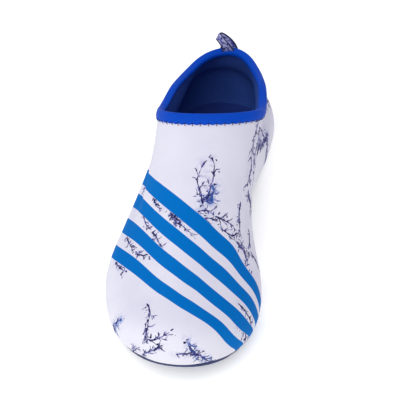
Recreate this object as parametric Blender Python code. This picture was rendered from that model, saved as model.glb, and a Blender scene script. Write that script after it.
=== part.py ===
"""Right water shoe: stretch-fabric upper, rubber outsole, foam insole, collar binding and pull loop.

The origin is on the floor under the middle of the heel. The toe points along -Y, +Z is up and +X is the
inner (medial) side of the foot. Lengths are in metres. A place on the shoe is given by two shares:
around runs from the back of the heel (0) along the inner side to the toe (0.5) and back along the outer
side (1), and station runs from the back of the heel (0) to the tip of the toe (1).
"""

import math

import bmesh
import bpy
import numpy as np

# Last: sizes of the foot form at the feather edge, where the upper turns under the foot
FEATHER_LENGTH = 0.235
BALL_WIDTH = 0.087
HEEL_BEHIND_ORIGIN = 0.032
TOE_SPRING = 0.013
ARCH_LIFT = 0.009
OUTER_ARCH_LIFT = 0.0027

# Upper
FABRIC_WALL = 0.002
MARGIN_WIDTH = 0.007
SIDE_BULGE = 0.0045
TOE_BOX_HEIGHT = 0.032
THROAT_HEIGHT = 0.0845
HEEL_HEIGHT = 0.058
COLLAR_LENGTH = 0.098
COLLAR_WIDTH = 0.059
COLLAR_TILT = 0.0028
COLLAR_SKEW = 0.0016
COLLAR_FORWARD_OF_HEEL = 0.006
VAMP_SAG = 0.011

# Collar binding: the tape's thickness and how far it reaches down outside and inside
TAPE_THICKNESS = 0.001
TAPE_OUTSIDE = 0.006
TAPE_INSIDE = 0.0028

# Outsole: a plate that stands out past the upper by a lip, with grip blocks under heel and forefoot
RUBBER_THICKNESS = 0.0018
BLOCK_DEPTH = 0.0012
BLOCK_LENGTH = 0.0075
BLOCK_GROOVE = 0.003
HEEL_BLOCK_ROWS = 5
FOREFOOT_BLOCK_ROWS = 10
SOLE_LIP = 0.0004

# Insole: its side stands upright over this share of its thickness, and it lies this far over the margin
INSOLE_THICKNESS = 0.003
INSOLE_SIDE_SHARE = 0.35
INSOLE_SEAT_GAP = 0.00015

# Pull loop: a ribbon that straddles the binding at the heel and leans to the outer side
LOOP_WIDTH = 0.0095
LOOP_HEIGHT = 0.0125
LOOP_THICKNESS = 0.0008
LOOP_LEG = 0.005
LOOP_LEAN = 0.0065
LOOP_LEAN_POWER = 1.5
LOOP_TWIST = math.radians(24)

# Curved pieces lie this far apart, and points closer than the second value are one
CLEARANCE = 0.0003
SAME_POINT = 1e-6

# Mesh fineness: meridians around the shoe, rings from the margin to the collar, cross lines of the
# sole's waist, and the ribbon's lines across its width and over its top
MERIDIANS = 72
RINGS = 21
WAIST_LINES = 6
RIBBON_LINES = 5
RIBBON_TURNS = 11

# Shares of the wall's height in which a distance below the collar or over the margin is looked up,
# and the share around the heel in which the ribbon lies
NEAR_COLLAR = np.linspace(0.6, 1.0, 60)
NEAR_MARGIN = np.linspace(0.02, 0.5, 80)
HEEL_ARC = np.linspace(-0.08, 0.08, 161)

# Stations of the flat spots and of the arch and toe curves
HEEL_REST = HEEL_BEHIND_ORIGIN / FEATHER_LENGTH
FOREFOOT_REST = 0.69
ARCH_MIDDLE = 0.42
ARCH_REACH = 0.22
SPRING_START = 0.74

# Feather edge: half widths as shares of BALL_WIDTH, and the axis shift as a share of it
OUTLINE_COLUMNS = ("station", "inner", "outer", "axis")
OUTLINE = (
    (0.00, 0.315, 0.320, 0.00),
    (0.15, 0.320, 0.325, 0.00),
    (0.30, 0.300, 0.340, 0.00),
    (0.45, 0.275, 0.380, 0.00),
    (0.60, 0.360, 0.440, 0.00),
    (0.72, 0.455, 0.470, 0.00),
    (0.84, 0.475, 0.445, 0.01),
    (1.00, 0.450, 0.400, 0.03),
)
# The outline closes over this share of the length with a superellipse of this power
HEEL_ROUND = (0.13, 2.1)
TOE_ROUND = (0.27, 2.25)

# Collar edge: place from back (0) to front (1), half widths as shares of half COLLAR_WIDTH,
# and the height as shares of HEEL_HEIGHT and of THROAT_HEIGHT
COLLAR_COLUMNS = ("place", "inner", "outer", "heel_share", "throat_share")
COLLAR = (
    (0.00, 0.62, 0.74, 1.00, 0.00),
    (0.20, 0.71, 0.76, 0.95, 0.04),
    (0.45, 0.94, 0.93, 0.60, 0.34),
    (0.70, 1.05, 1.03, 0.25, 0.62),
    (0.88, 1.05, 1.03, 0.05, 0.88),
    (1.00, 1.02, 1.00, 0.00, 1.00),
)
COLLAR_BACK_ROUND = (0.30, 2.0)
COLLAR_FRONT_ROUND = (0.30, 2.2)

# Wall over the feather edge: sideways bulge and its height, then the shoulder where the wall turns in.
# bulge is a share of SIDE_BULGE, inward of BALL_WIDTH, sag of VAMP_SAG, and each height is a share of
# HEEL_HEIGHT plus a share of TOE_BOX_HEIGHT
WALL_COLUMNS = ("around", "bulge", "bulge_toe", "inward", "up_heel", "up_toe", "sag")
WALL = (
    (0.00, 1.00, 0.50, 0.010, 0.62, 0.00, 0.0),
    (0.12, 0.95, 0.36, 0.020, 0.44, 0.00, 0.0),
    (0.22, 0.65, 0.50, -0.030, 0.40, 0.33, 0.0),
    (0.26, 0.80, 0.55, -0.035, 0.25, 0.55, 0.0),
    (0.30, 0.85, 0.55, 0.040, 0.15, 0.72, 0.0),
    (0.35, 0.95, 0.50, 0.120, 0.06, 0.90, 0.3),
    (0.42, 1.00, 0.50, 0.130, 0.00, 1.03, 1.0),
    (0.50, 1.00, 0.50, 0.120, 0.00, 0.98, 1.0),
    (0.58, 1.00, 0.45, 0.160, 0.00, 0.86, 0.7),
    (0.67, 0.90, 0.45, 0.130, 0.10, 0.77, 0.2),
    (0.73, 0.80, 0.45, 0.070, 0.25, 0.50, 0.1),
    (0.79, 0.75, 0.50, 0.020, 0.40, 0.33, 0.0),
    (0.88, 1.00, 0.50, 0.020, 0.56, 0.00, 0.0),
)

# Fabric where it turns up from the margin: how far inside the feather edge, and how high it is then
TURN_INSIDE = 0.0005
TURN_HEIGHT = 0.001

# Meridian's control points between the turn and the shoulder. Columns: shares of the bulge, of the
# shoulder's way in, of the widest place's height and of the shoulder's height
BELOW_SHOULDER = (
    (0.90, 0.00, 0.0, 0.00),
    (1.25, 0.00, 1.0, 0.00),
    (1.00, 0.35, 0.0, 0.92),
)

# Meridian's control points from the shoulder to the collar. Columns: shares of the way up and of the sag
ABOVE_SHOULDER = (
    (0.12, 0.4),
    (0.55, 1.0),
    (0.88, 0.1),
)

# Outsole blocks across the width: edges of the three columns as shares of the half width
BLOCK_EDGES = (-1.0, -0.87, -0.36, -0.27, 0.27, 0.36, 0.87, 1.0)
BLOCK_COLUMNS = (1, 3, 5)
# Blocks stand between these stations, and each narrows to this share of its size
BLOCK_STATIONS = (0.015, 0.975)
BLOCK_TAPER = 0.9

# Sole's edge: shares of SOLE_LIP at the underside, the lip and the top, and the lip's share of the depth
LIP_SHARES = (0.5, 1.0, 0.8)
LIP_DEPTH_SHARE = 0.4
# Stations of the cross lines that round the heel's end, and from the toe backwards the toe's end
END_LINES = (0.0005, 0.003, 0.009, 0.018, 0.03, 0.045, 0.06)
END_LINE_GAP = 0.003


def unit(vectors):
    """Vectors scaled to length one."""
    return vectors / np.maximum(np.linalg.norm(vectors, axis=-1, keepdims=True), 1e-12)


def smooth_column(table, columns, name, place, loop=False):
    """Read a column of a table at any place, as a cubic curve through its rows."""
    xs = np.array([row[0] for row in table])
    ys = np.array([row[columns.index(name)] for row in table])
    if loop:
        place = np.mod(place, 1.0)
        xs = np.concatenate([xs[-2:] - 1.0, xs, xs[:2] + 1.0])
        ys = np.concatenate([ys[-2:], ys, ys[:2]])
    slopes = np.gradient(ys, xs)
    place = np.clip(place, xs[0], xs[-1])
    row = np.clip(np.searchsorted(xs, place, side="right") - 1, 0, len(xs) - 2)
    width = xs[row + 1] - xs[row]
    t = (place - xs[row]) / width
    start = ys[row] * (1 + 2 * t) * (1 - t) ** 2 + slopes[row] * width * t * (1 - t) ** 2
    end = ys[row + 1] * t ** 2 * (3 - 2 * t) + slopes[row + 1] * width * t ** 2 * (t - 1)
    return start + end


def end_rounding(place, back, front):
    """Factor that closes a width to a round end at both ends of the shoe."""
    (back_share, back_power), (front_share, front_power) = back, front
    back_gap = np.clip((back_share - place) / back_share, 0.0, 1.0)
    front_gap = np.clip((place - 1.0 + front_share) / front_share, 0.0, 1.0)
    back_factor = (1.0 - back_gap ** back_power) ** (1.0 / back_power)
    front_factor = (1.0 - front_gap ** front_power) ** (1.0 / front_power)
    return back_factor * front_factor


def half_widths(station):
    """Inner and outer half width of the feather edge, and the axis, at a station."""
    closing = BALL_WIDTH * end_rounding(station, HEEL_ROUND, TOE_ROUND)
    inner = smooth_column(OUTLINE, OUTLINE_COLUMNS, "inner", station) * closing
    outer = smooth_column(OUTLINE, OUTLINE_COLUMNS, "outer", station) * closing
    axis = smooth_column(OUTLINE, OUTLINE_COLUMNS, "axis", station) * BALL_WIDTH
    return inner, outer, axis


def station_of(around):
    """Station of a point on the outline."""
    return (1.0 - np.cos(2.0 * math.pi * around)) / 2.0


def feather(around):
    """Plan points of the feather edge."""
    station = station_of(around)
    inner, outer, axis = half_widths(station)
    x = np.where(np.mod(around, 1.0) <= 0.5, axis + inner, axis - outer)
    return np.stack([x, HEEL_BEHIND_ORIGIN - station * FEATHER_LENGTH], axis=-1)


def feather_normal(around):
    """Outward plan directions of the feather edge."""
    step = 0.005
    run = feather(around + step) - feather(around - step)
    return unit(np.stack([-run[:, 1], run[:, 0]], axis=-1))


def lift(plan):
    """Height of the sole's underside over the floor at plan points: the arch and the toe spring."""
    station = np.clip((HEEL_BEHIND_ORIGIN - plan[..., 1]) / FEATHER_LENGTH, 0.0, 1.0)
    inner, outer, axis = half_widths(station)
    across = (plan[..., 0] - axis) / np.maximum(np.where(plan[..., 0] > axis, inner, outer), 1e-6)
    inner_share = (np.clip(across, -1.0, 1.0) + 1.0) / 2.0
    amount = OUTER_ARCH_LIFT + (ARCH_LIFT - OUTER_ARCH_LIFT) * inner_share
    reach = np.clip(np.abs(station - ARCH_MIDDLE) / ARCH_REACH, 0.0, 1.0)
    spring = np.clip((station - SPRING_START) / (1.0 - SPRING_START), 0.0, 1.0)
    return amount * np.cos(reach * math.pi / 2.0) ** 2 + TOE_SPRING * spring ** 2


def sole_top():
    """Height of the outsole's top face over its lowest point, where the sole lies flat."""
    return BLOCK_DEPTH + RUBBER_THICKNESS


def on_sole(plan, above):
    """Points over the plan points, at a height above the outsole's top face."""
    return np.concatenate([plan, (lift(plan) + sole_top() + above)[..., None]], axis=-1)


def collar_edge(around):
    """Points of the collar's edge on the outside of the upper."""
    place = station_of(around)
    half = COLLAR_WIDTH / 2.0 * end_rounding(place, COLLAR_BACK_ROUND, COLLAR_FRONT_ROUND)
    inner = smooth_column(COLLAR, COLLAR_COLUMNS, "inner", place) * half
    outer = smooth_column(COLLAR, COLLAR_COLUMNS, "outer", place) * half
    x = np.where(np.mod(around, 1.0) <= 0.5, inner, -outer)
    y = HEEL_BEHIND_ORIGIN - COLLAR_FORWARD_OF_HEEL - place * COLLAR_LENGTH
    z = smooth_column(COLLAR, COLLAR_COLUMNS, "heel_share", place) * HEEL_HEIGHT
    z = z + smooth_column(COLLAR, COLLAR_COLUMNS, "throat_share", place) * THROAT_HEIGHT
    across = x / (COLLAR_WIDTH / 2.0)
    return np.stack([x, y + COLLAR_SKEW * across, z + COLLAR_TILT * across], axis=-1)


def basis(places, count):
    """Weights of a clamped cubic B-spline with this many control points."""
    degree = 3
    inner = np.linspace(0.0, 1.0, count - degree + 1)
    knots = np.concatenate([np.zeros(degree), inner, np.ones(degree)])
    places = np.clip(places, 0.0, 1.0 - 1e-9)[:, None]
    weights = ((places >= knots[:-1]) & (places < knots[1:])).astype(float)
    for order in range(1, degree + 1):
        left_gap = knots[order:-1] - knots[:-order - 1]
        right_gap = knots[order + 1:] - knots[1:-order]
        left = np.divide(places - knots[:-order - 1], left_gap, out=np.zeros_like(weights[:, :-1]),
                         where=left_gap > 0)
        right = np.divide(knots[order + 1:] - places, right_gap, out=np.zeros_like(weights[:, :-1]),
                          where=right_gap > 0)
        weights = left * weights[:, :-1] + right * weights[:, 1:]
    return weights


def wall_controls(around):
    """Control points of each meridian, from the margin's edge under the foot up to the collar."""
    edge = feather(around)
    out = feather_normal(around)
    rim = collar_edge(around)

    def column(name):
        return smooth_column(WALL, WALL_COLUMNS, name, around, loop=True)

    def at(offset, above):
        return on_sole(edge + out * np.broadcast_to(offset, around.shape)[:, None], above)

    bulge = column("bulge") * SIDE_BULGE
    widest_up = column("bulge_toe") * TOE_BOX_HEIGHT
    shoulder_up = column("up_heel") * HEEL_HEIGHT + column("up_toe") * TOE_BOX_HEIGHT
    shoulder_in = column("inward") * BALL_WIDTH
    shoulder = at(-shoulder_in, CLEARANCE + shoulder_up)
    rise = rim - shoulder
    sag = np.array([0.0, 0.0, 1.0]) * (column("sag") * VAMP_SAG)[:, None]
    margin = [at(-MARGIN_WIDTH, CLEARANCE), at(-TURN_INSIDE, CLEARANCE)]
    below = []
    for bulge_share, inward_share, widest_share, shoulder_share in BELOW_SHOULDER:
        height = np.maximum(TURN_HEIGHT, widest_share * widest_up + shoulder_share * shoulder_up)
        below.append(at(bulge_share * bulge - inward_share * shoulder_in, CLEARANCE + height))
    above = [shoulder + rise_share * rise - sag_share * sag for rise_share, sag_share in ABOVE_SHOULDER]
    return np.array(margin + below + above + [rim])


def surface(around, ring):
    """Points of the upper's outer face, one row per ring place and one column per meridian."""
    controls = wall_controls(around)
    return np.einsum("rk,kac->rac", basis(ring, len(controls)), controls)


def surface_frame(around, ring):
    """Points of the outer face with the outward normal and the upward tangent at each."""
    step = 0.002
    points = surface(around, ring)
    run_around = surface(around + step, ring) - surface(around - step, ring)
    run_up = surface(around, np.minimum(ring + step, 1.0)) - surface(around, np.maximum(ring - step, 0.0))
    return points, unit(np.cross(run_up, run_around)), unit(run_up)


def below_collar(around, distances):
    """Points and normals of the outer face at distances down from the collar's edge."""
    points, normals, _ = surface_frame(around, NEAR_COLLAR)
    steps = np.linalg.norm(np.diff(points, axis=0), axis=2)
    depth = np.concatenate([np.cumsum(steps[::-1], axis=0)[::-1], np.zeros((1, len(around)))])
    found_points = np.zeros((len(distances), len(around), 3))
    found_normals = np.zeros_like(found_points)
    for meridian in range(len(around)):
        for axis in range(3):
            down = depth[::-1, meridian]
            found_points[:, meridian, axis] = np.interp(distances, down, points[::-1, meridian, axis])
            found_normals[:, meridian, axis] = np.interp(distances, down, normals[::-1, meridian, axis])
    return found_points, unit(found_normals)


def material(name, colour, roughness):
    """Principled material with a base colour and a roughness."""
    made = bpy.data.materials.new(name)
    made.use_nodes = True
    shader = made.node_tree.nodes["Principled BSDF"]
    shader.inputs["Base Color"].default_value = (*colour, 1.0)
    shader.inputs["Roughness"].default_value = roughness
    shader.inputs["Metallic"].default_value = 0.0
    made.diffuse_color = (*colour, 1.0)
    return made


def add_object(name, points, faces, finish):
    """Make one closed body from points and faces, smooth where it turns gently."""
    mesh = bpy.data.meshes.new(name)
    mesh.from_pydata([tuple(map(float, point)) for point in points], [], faces)
    shape = bmesh.new()
    shape.from_mesh(mesh)
    bmesh.ops.remove_doubles(shape, verts=shape.verts, dist=SAME_POINT)
    bmesh.ops.recalc_face_normals(shape, faces=shape.faces)
    bmesh.ops.triangulate(shape, faces=shape.faces)
    shape.to_mesh(mesh)
    shape.free()
    mesh.shade_smooth()
    mesh.set_sharp_from_angle(angle=math.radians(40))
    mesh.materials.append(finish)
    made = bpy.data.objects.new(name, mesh)
    bpy.context.scene.collection.objects.link(made)
    return made


def quads_between(first, after, size, closed=True):
    """Faces that join a line of points to the next line, and its end to its start where it is closed."""
    faces = []
    for step in range(size if closed else size - 1):
        beside = (step + 1) % size
        faces.append((first + step, first + beside, after + beside, after + step))
    return faces


def add_ring_body(name, rings, finish):
    """Body like a bent tyre: closed rings joined one to the next, and the last to the first."""
    size = len(rings[0])
    faces = []
    for ring in range(len(rings)):
        after = (ring + 1) % len(rings)
        faces += quads_between(ring * size, after * size, size)
    return add_object(name, np.concatenate(rings), faces, finish)


def meridian_places():
    """Shares around the shoe of the mesh's meridians."""
    return np.arange(MERIDIANS) / MERIDIANS


def build_upper(finish):
    """Hollow upper: the outer face, then the inner face one wall further in, back to the margin."""
    places = np.linspace(0.0, 1.0, RINGS)
    points, normals, _ = surface_frame(meridian_places(), places)
    lining = points - normals * FABRIC_WALL
    return add_ring_body("upper", [*points, *lining[::-1]], finish)


def build_binding(finish):
    """Tape folded over the collar's raw edge, as a closed U section carried all round."""
    around = meridian_places()
    outside = np.array([TAPE_OUTSIDE, TAPE_OUTSIDE / 2.0, 0.0])
    inside = np.array([TAPE_INSIDE, TAPE_INSIDE / 2.0, 0.0])
    out_points, out_normals = below_collar(around, outside)
    in_points, in_normals = below_collar(around, inside)
    rim, normals, tangents = (item[0] for item in surface_frame(around, np.array([1.0])))
    near = CLEARANCE
    far = CLEARANCE + TAPE_THICKNESS
    corner = far * math.sqrt(0.5)

    def over_rim(up, out):
        return rim + tangents * up + normals * out

    far_outside = [out_points[i] + out_normals[i] * far for i in range(3)]
    far_inside = [in_points[i] - in_normals[i] * (FABRIC_WALL + far) for i in (2, 1, 0)]
    near_inside = [in_points[i] - in_normals[i] * (FABRIC_WALL + near) for i in (0, 1)]
    near_outside = [out_points[i] + out_normals[i] * near for i in (1, 0)]
    top = [
        over_rim(corner, corner),
        over_rim(far, -FABRIC_WALL / 2.0),
        over_rim(corner, -FABRIC_WALL - corner),
    ]
    under = [over_rim(near, -FABRIC_WALL - near), over_rim(near, near)]
    rings = far_outside + top + far_inside + near_inside + under + near_outside
    return add_ring_body("collar_binding", rings, finish)


def row_around(stations):
    """Share around of the inner edge at each station."""
    return np.arccos(1.0 - 2.0 * np.clip(stations, 0.0, 1.0)) / (2.0 * math.pi)


def across_plan(stations, offset, shares):
    """Plan grid from the outer edge (-1) to the inner edge (1), the edge moved out by an offset."""
    around = row_around(stations)
    inner = feather(around) + feather_normal(around) * offset
    outer = feather(1.0 - around) + feather_normal(1.0 - around) * offset
    middle = (inner + outer) / 2.0
    half = (inner - outer) / 2.0
    return middle[:, None, :] + half[:, None, :] * np.array(shares)[None, :, None]


def block_rows(rest, rows):
    """Start and end station of each row of blocks, with the middle row over a flat spot."""
    pitch = (BLOCK_LENGTH + BLOCK_GROOVE) / FEATHER_LENGTH
    half = BLOCK_LENGTH / FEATHER_LENGTH / 2.0
    first, last = BLOCK_STATIONS
    middles = [rest + pitch * (row - (rows - 1) // 2) for row in range(rows)]
    return [(middle - half, middle + half) for middle in middles if first + half < middle < last - half]


def outsole_stations():
    """Stations of the sole's cross lines, and the lines at which a row of blocks starts."""
    heel = block_rows(HEEL_REST, HEEL_BLOCK_ROWS)
    front = [row for row in block_rows(FOREFOOT_REST, FOREFOOT_BLOCK_ROWS) if row[0] > heel[-1][1]]
    lines = [0.0, 1.0]
    lines += [line for line in END_LINES if line < heel[0][0] - END_LINE_GAP]
    lines += [1.0 - line for line in END_LINES if 1.0 - line > front[-1][1] + END_LINE_GAP]
    lines += list(np.linspace(heel[-1][1], front[0][0], WAIST_LINES + 2)[1:-1])
    lines += [edge for row in heel + front for edge in row]
    stations = np.array(sorted(lines))
    starts = np.searchsorted(stations, [row[0] for row in heel + front])
    return stations, set(starts.tolist())


def build_outsole(finish):
    """Rubber sole: a bent plate with a lip all round and three columns of grip blocks below."""
    stations, block_starts = outsole_stations()
    underside_lip, widest_lip, top_lip = (share * SOLE_LIP for share in LIP_SHARES)
    underside = on_sole(across_plan(stations, underside_lip, BLOCK_EDGES), -RUBBER_THICKNESS)
    edges = on_sole(across_plan(stations, widest_lip, (-1.0, 1.0)), -RUBBER_THICKNESS * LIP_DEPTH_SHARE)
    top = on_sole(across_plan(stations, top_lip, BLOCK_EDGES), 0.0)
    rings = np.concatenate([underside, edges[:, 1:], top[:, ::-1], edges[:, :1]], axis=1)
    size = rings.shape[1]
    points = list(rings.reshape(-1, 3))
    faces = []
    for line in range(len(stations) - 1):
        for step, face in enumerate(quads_between(line * size, (line + 1) * size, size)):
            if line in block_starts and step in BLOCK_COLUMNS:
                faces += add_block(points, face)
            else:
                faces.append(face)
    return add_object("outsole", points, faces, finish)


def add_block(points, base):
    """Grip block below a face of the sole: four sides that narrow a little, and its flat end."""
    corners = np.array([points[index] for index in base])
    middle = corners.mean(axis=0)
    end = middle + (corners - middle) * BLOCK_TAPER - np.array([0.0, 0.0, BLOCK_DEPTH])
    tip = tuple(range(len(points), len(points) + len(base)))
    points.extend(end)
    sides = [(base[side - 1], base[side], tip[side], tip[side - 1]) for side in range(len(base))]
    return sides + [tip]


def lining_at_height(around, heights):
    """Plan points just clear of the upper's inner face, at heights above the margin's outer face."""
    points, normals, _ = surface_frame(around, NEAR_MARGIN)
    clear = points - normals * (FABRIC_WALL + CLEARANCE)
    above = clear[..., 2] - on_sole(clear[..., :2], CLEARANCE)[..., 2]
    rows = np.zeros((len(heights), len(around), 2))
    for meridian in range(len(around)):
        climb = np.maximum.accumulate(above[:, meridian])
        for axis in range(2):
            rows[:, meridian, axis] = np.interp(heights, climb, clear[:, meridian, axis])
    return rows


def build_insole(finish):
    """Foam sock liner: it lies on the margin, and its stepped underside fills the opening inside it."""
    around = meridian_places()
    out = feather_normal(around)
    toe_slope = math.atan(2.0 * TOE_SPRING / ((1.0 - SPRING_START) * FEATHER_LENGTH))
    bed = FABRIC_WALL / math.cos(toe_slope) + CLEARANCE + INSOLE_SEAT_GAP
    middle = bed + INSOLE_SIDE_SHARE * INSOLE_THICKNESS
    top = bed + INSOLE_THICKNESS
    bed_rim, middle_rim, top_rim = lining_at_height(around, np.array([bed, middle, top]))
    margin_end, margin_normal, _ = (item[0] for item in surface_frame(around, np.array([0.0])))
    lining_end = (margin_end - margin_normal * FABRIC_WALL)[:, :2]
    step_low = margin_end[:, :2] - out * CLEARANCE
    step_high = lining_end - out * CLEARANCE
    rings = [
        on_sole(step_low, CLEARANCE),
        on_sole(step_high, CLEARANCE + bed),
        on_sole(bed_rim, CLEARANCE + bed),
        on_sole(middle_rim, CLEARANCE + middle),
        on_sole(top_rim, CLEARANCE + top),
    ]
    points = list(np.concatenate(rings))
    faces = []
    for ring in range(len(rings) - 1):
        faces += quads_between(ring * MERIDIANS, (ring + 1) * MERIDIANS, MERIDIANS)
    faces += fill_across(points, 0, step_low, CLEARANCE)
    faces += fill_across(points, (len(rings) - 1) * MERIDIANS, top_rim, CLEARANCE + top)
    return add_object("insole", points, faces, finish)


def fill_across(points, first, plan, above):
    """Fill a ring with strips that run across the shoe, with one row of points on its middle line."""
    half = MERIDIANS // 2
    middle_of = {0: first, half: first + half}
    for step in range(1, half):
        centre = (plan[step] + plan[MERIDIANS - step]) / 2.0
        middle_of[step] = len(points)
        points.append(on_sole(centre[None, :], above)[0])
    faces = []
    for step in range(half):
        for near, far in ((first + step, first + step + 1),
                          (first + (MERIDIANS - step) % MERIDIANS, first + MERIDIANS - step - 1)):
            corners = (near, far, middle_of[step + 1], middle_of[step])
            faces.append(tuple(dict.fromkeys(corners)))
    return faces


def build_pull_loop(finish):
    """Ribbon loop: two legs straddle the binding at the heel and join in a slender round top."""
    edge = collar_edge(HEEL_ARC)
    run = np.concatenate([[0.0], np.cumsum(np.linalg.norm(np.diff(edge, axis=0), axis=1))])
    run = run - run[len(run) // 2]
    across = np.linspace(-LOOP_WIDTH / 2.0, LOOP_WIDTH / 2.0, RIBBON_LINES)
    around = np.interp(across, run, HEEL_ARC)
    rim, normals, tangents = (item[0] for item in surface_frame(around, np.array([1.0])))
    leg_points, leg_normals = below_collar(around, np.array([LOOP_LEG, LOOP_LEG / 2.0]))
    sideways = unit(rim[-1] - rim[0])
    reach = FABRIC_WALL / 2.0 + CLEARANCE + TAPE_THICKNESS + CLEARANCE

    def ribbon(extra):
        """Lines of the ribbon's inner face, or of its outer face where extra is its thickness."""
        half_gap = reach + extra
        outer_leg = leg_points + leg_normals * (half_gap - FABRIC_WALL / 2.0)
        inner_leg = leg_points - leg_normals * (half_gap + FABRIC_WALL / 2.0)
        arch = []
        for turn in np.linspace(0.0, math.pi, RIBBON_TURNS):
            rise = math.sin(turn)
            out = math.cos(turn) * half_gap
            twist = LOOP_TWIST * rise
            shift = across * (math.cos(twist) - 1.0) - out * math.sin(twist)
            shift = shift - LOOP_LEAN * rise ** LOOP_LEAN_POWER
            depth = out * math.cos(twist) + across * math.sin(twist) - FABRIC_WALL / 2.0
            arch.append(rim + tangents * rise * (LOOP_HEIGHT + extra) + normals * depth[:, None]
                        + sideways * shift[:, None])
        return [*outer_leg, *arch, *inner_leg[::-1]]

    lines = ribbon(0.0) + ribbon(LOOP_THICKNESS)[::-1]
    size = RIBBON_LINES
    faces = []
    for line in range(len(lines)):
        after = (line + 1) % len(lines)
        faces += quads_between(line * size, after * size, size, closed=False)
    for line in range(len(lines) // 2 - 1):
        opposite = len(lines) - 1 - line
        for step in (0, size - 1):
            faces.append((line * size + step, (line + 1) * size + step,
                          (opposite - 1) * size + step, opposite * size + step))
    return add_object("pull_loop", np.concatenate(lines), faces, finish)


def main():
    """Clear the scene and build the shoe's five pieces."""
    for old in list(bpy.data.objects):
        bpy.data.objects.remove(old, do_unlink=True)
    build_upper(material("printed_stretch_fabric", (0.80, 0.80, 0.90), 0.85))
    build_binding(material("elastic_tape", (0.005, 0.08, 0.58), 0.75))
    build_outsole(material("navy_rubber", (0.012, 0.03, 0.10), 0.55))
    build_insole(material("sock_foam", (0.01, 0.02, 0.08), 0.9))
    build_pull_loop(material("ribbon", (0.15, 0.15, 0.40), 0.8))


main()
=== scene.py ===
"""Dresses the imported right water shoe: printed jersey, lining, tape, ribbon loop, liner and rubber sole.

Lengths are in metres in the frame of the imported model: the toe points along -Y, +X is the inner side and +Z
is up. A place on the shoe is around (0 at the back of the heel, 0.5 at the toe, inner side first) and ring
(0 at the edge of the turned-under margin, 1 at the collar's edge).
"""

from __future__ import annotations

import logging
import math
from dataclasses import dataclass
from enum import Enum
from typing import Sequence

import bmesh
import bpy
import numpy as np
from mathutils import Matrix, Vector
from mathutils.bvhtree import BVHTree


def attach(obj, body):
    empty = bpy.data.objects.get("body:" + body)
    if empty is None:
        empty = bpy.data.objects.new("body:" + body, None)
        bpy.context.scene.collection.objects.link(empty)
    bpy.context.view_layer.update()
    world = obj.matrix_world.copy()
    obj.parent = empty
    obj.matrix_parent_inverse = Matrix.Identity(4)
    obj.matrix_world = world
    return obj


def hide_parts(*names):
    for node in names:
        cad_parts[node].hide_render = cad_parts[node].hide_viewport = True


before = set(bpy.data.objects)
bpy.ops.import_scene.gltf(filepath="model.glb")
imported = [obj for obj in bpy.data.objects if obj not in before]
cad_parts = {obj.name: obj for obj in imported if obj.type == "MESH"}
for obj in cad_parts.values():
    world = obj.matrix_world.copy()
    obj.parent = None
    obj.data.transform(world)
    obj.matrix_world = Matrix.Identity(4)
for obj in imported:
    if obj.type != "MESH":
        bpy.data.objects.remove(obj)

LOG = logging.getLogger("water_shoe")
BODY = "root"
MILLIMETRE = 0.001
# A wave texture's band repeats every 0.314 units of its scaled coordinate
WAVE_BAND = 0.314
# Twill's ribs slant across the tape, and the rows of a knit or weave lie wider apart than its columns
TWILL_SLANT = math.radians(35.0)
ROW_SCALE = 0.7
# Inputs of a Map Range node: the value, the two ends that it is read between, and what they turn into
VALUE, LOW, HIGH, TO_LOW, TO_HIGH = range(5)
# Inputs of a Mix node for colours: the share of the second colour, then both colours; and its output
SHARE, FIRST, SECOND = 0, 6, 7
MIXED = 2

Table = tuple[tuple[float, ...], ...]
Range = tuple[float, float]
Place = tuple[float, float, float]
Quad = tuple[int, int, int, int]
Triple = tuple[np.ndarray, np.ndarray, np.ndarray]


def linear(hex_colour: str) -> tuple[float, float, float, float]:
    """Turn an sRGB hex colour to linear.

    Args:
        hex_colour: six hex digits, such as "0A66C2".

    Returns:
        Linear red, green, blue and an alpha of one.
    """
    channels = [int(hex_colour[place:place + 2], 16) / 255.0 for place in (0, 2, 4)]
    values = [value / 12.92 if value <= 0.04045 else ((value + 0.055) / 1.055) ** 2.4 for value in channels]
    return (values[0], values[1], values[2], 1.0)


def unit(vectors: np.ndarray) -> np.ndarray:
    """Scale vectors to length one."""
    return vectors / np.maximum(np.linalg.norm(vectors, axis=-1, keepdims=True), 1e-12)


def run_along(points: np.ndarray) -> np.ndarray:
    """Measure the length along rows of points.

    Args:
        points: one point, or one line of points, in each row.

    Returns:
        Length from the first row to each row.
    """
    steps = np.linalg.norm(np.diff(points, axis=0), axis=-1)
    return np.concatenate([np.zeros_like(steps[:1]), np.cumsum(steps, axis=0)])


def smooth_column(table: Table, column: int, place: np.ndarray, loop: bool = False) -> np.ndarray:
    """Read a column of a table as a cubic curve through its rows.

    Args:
        table: rows that start with their place.
        column: index of the column to read.
        place: places to read it at.
        loop: whether the table closes on itself after one.

    Returns:
        The column's value at each place.
    """
    xs = np.array([row[0] for row in table], float)
    ys = np.array([row[column] for row in table], float)
    if loop:
        place = np.mod(place, 1.0)
        xs = np.concatenate([xs[-2:] - 1.0, xs, xs[:2] + 1.0])
        ys = np.concatenate([ys[-2:], ys, ys[:2]])
    slopes = np.gradient(ys, xs)
    place = np.clip(place, xs[0], xs[-1])
    row = np.clip(np.searchsorted(xs, place, side="right") - 1, 0, len(xs) - 2)
    width = xs[row + 1] - xs[row]
    t = (place - xs[row]) / width
    start = ys[row] * (1 + 2 * t) * (1 - t) ** 2 + slopes[row] * width * t * (1 - t) ** 2
    end = ys[row + 1] * t ** 2 * (3 - 2 * t) + slopes[row + 1] * width * t ** 2 * (t - 1)
    return start + end


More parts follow.
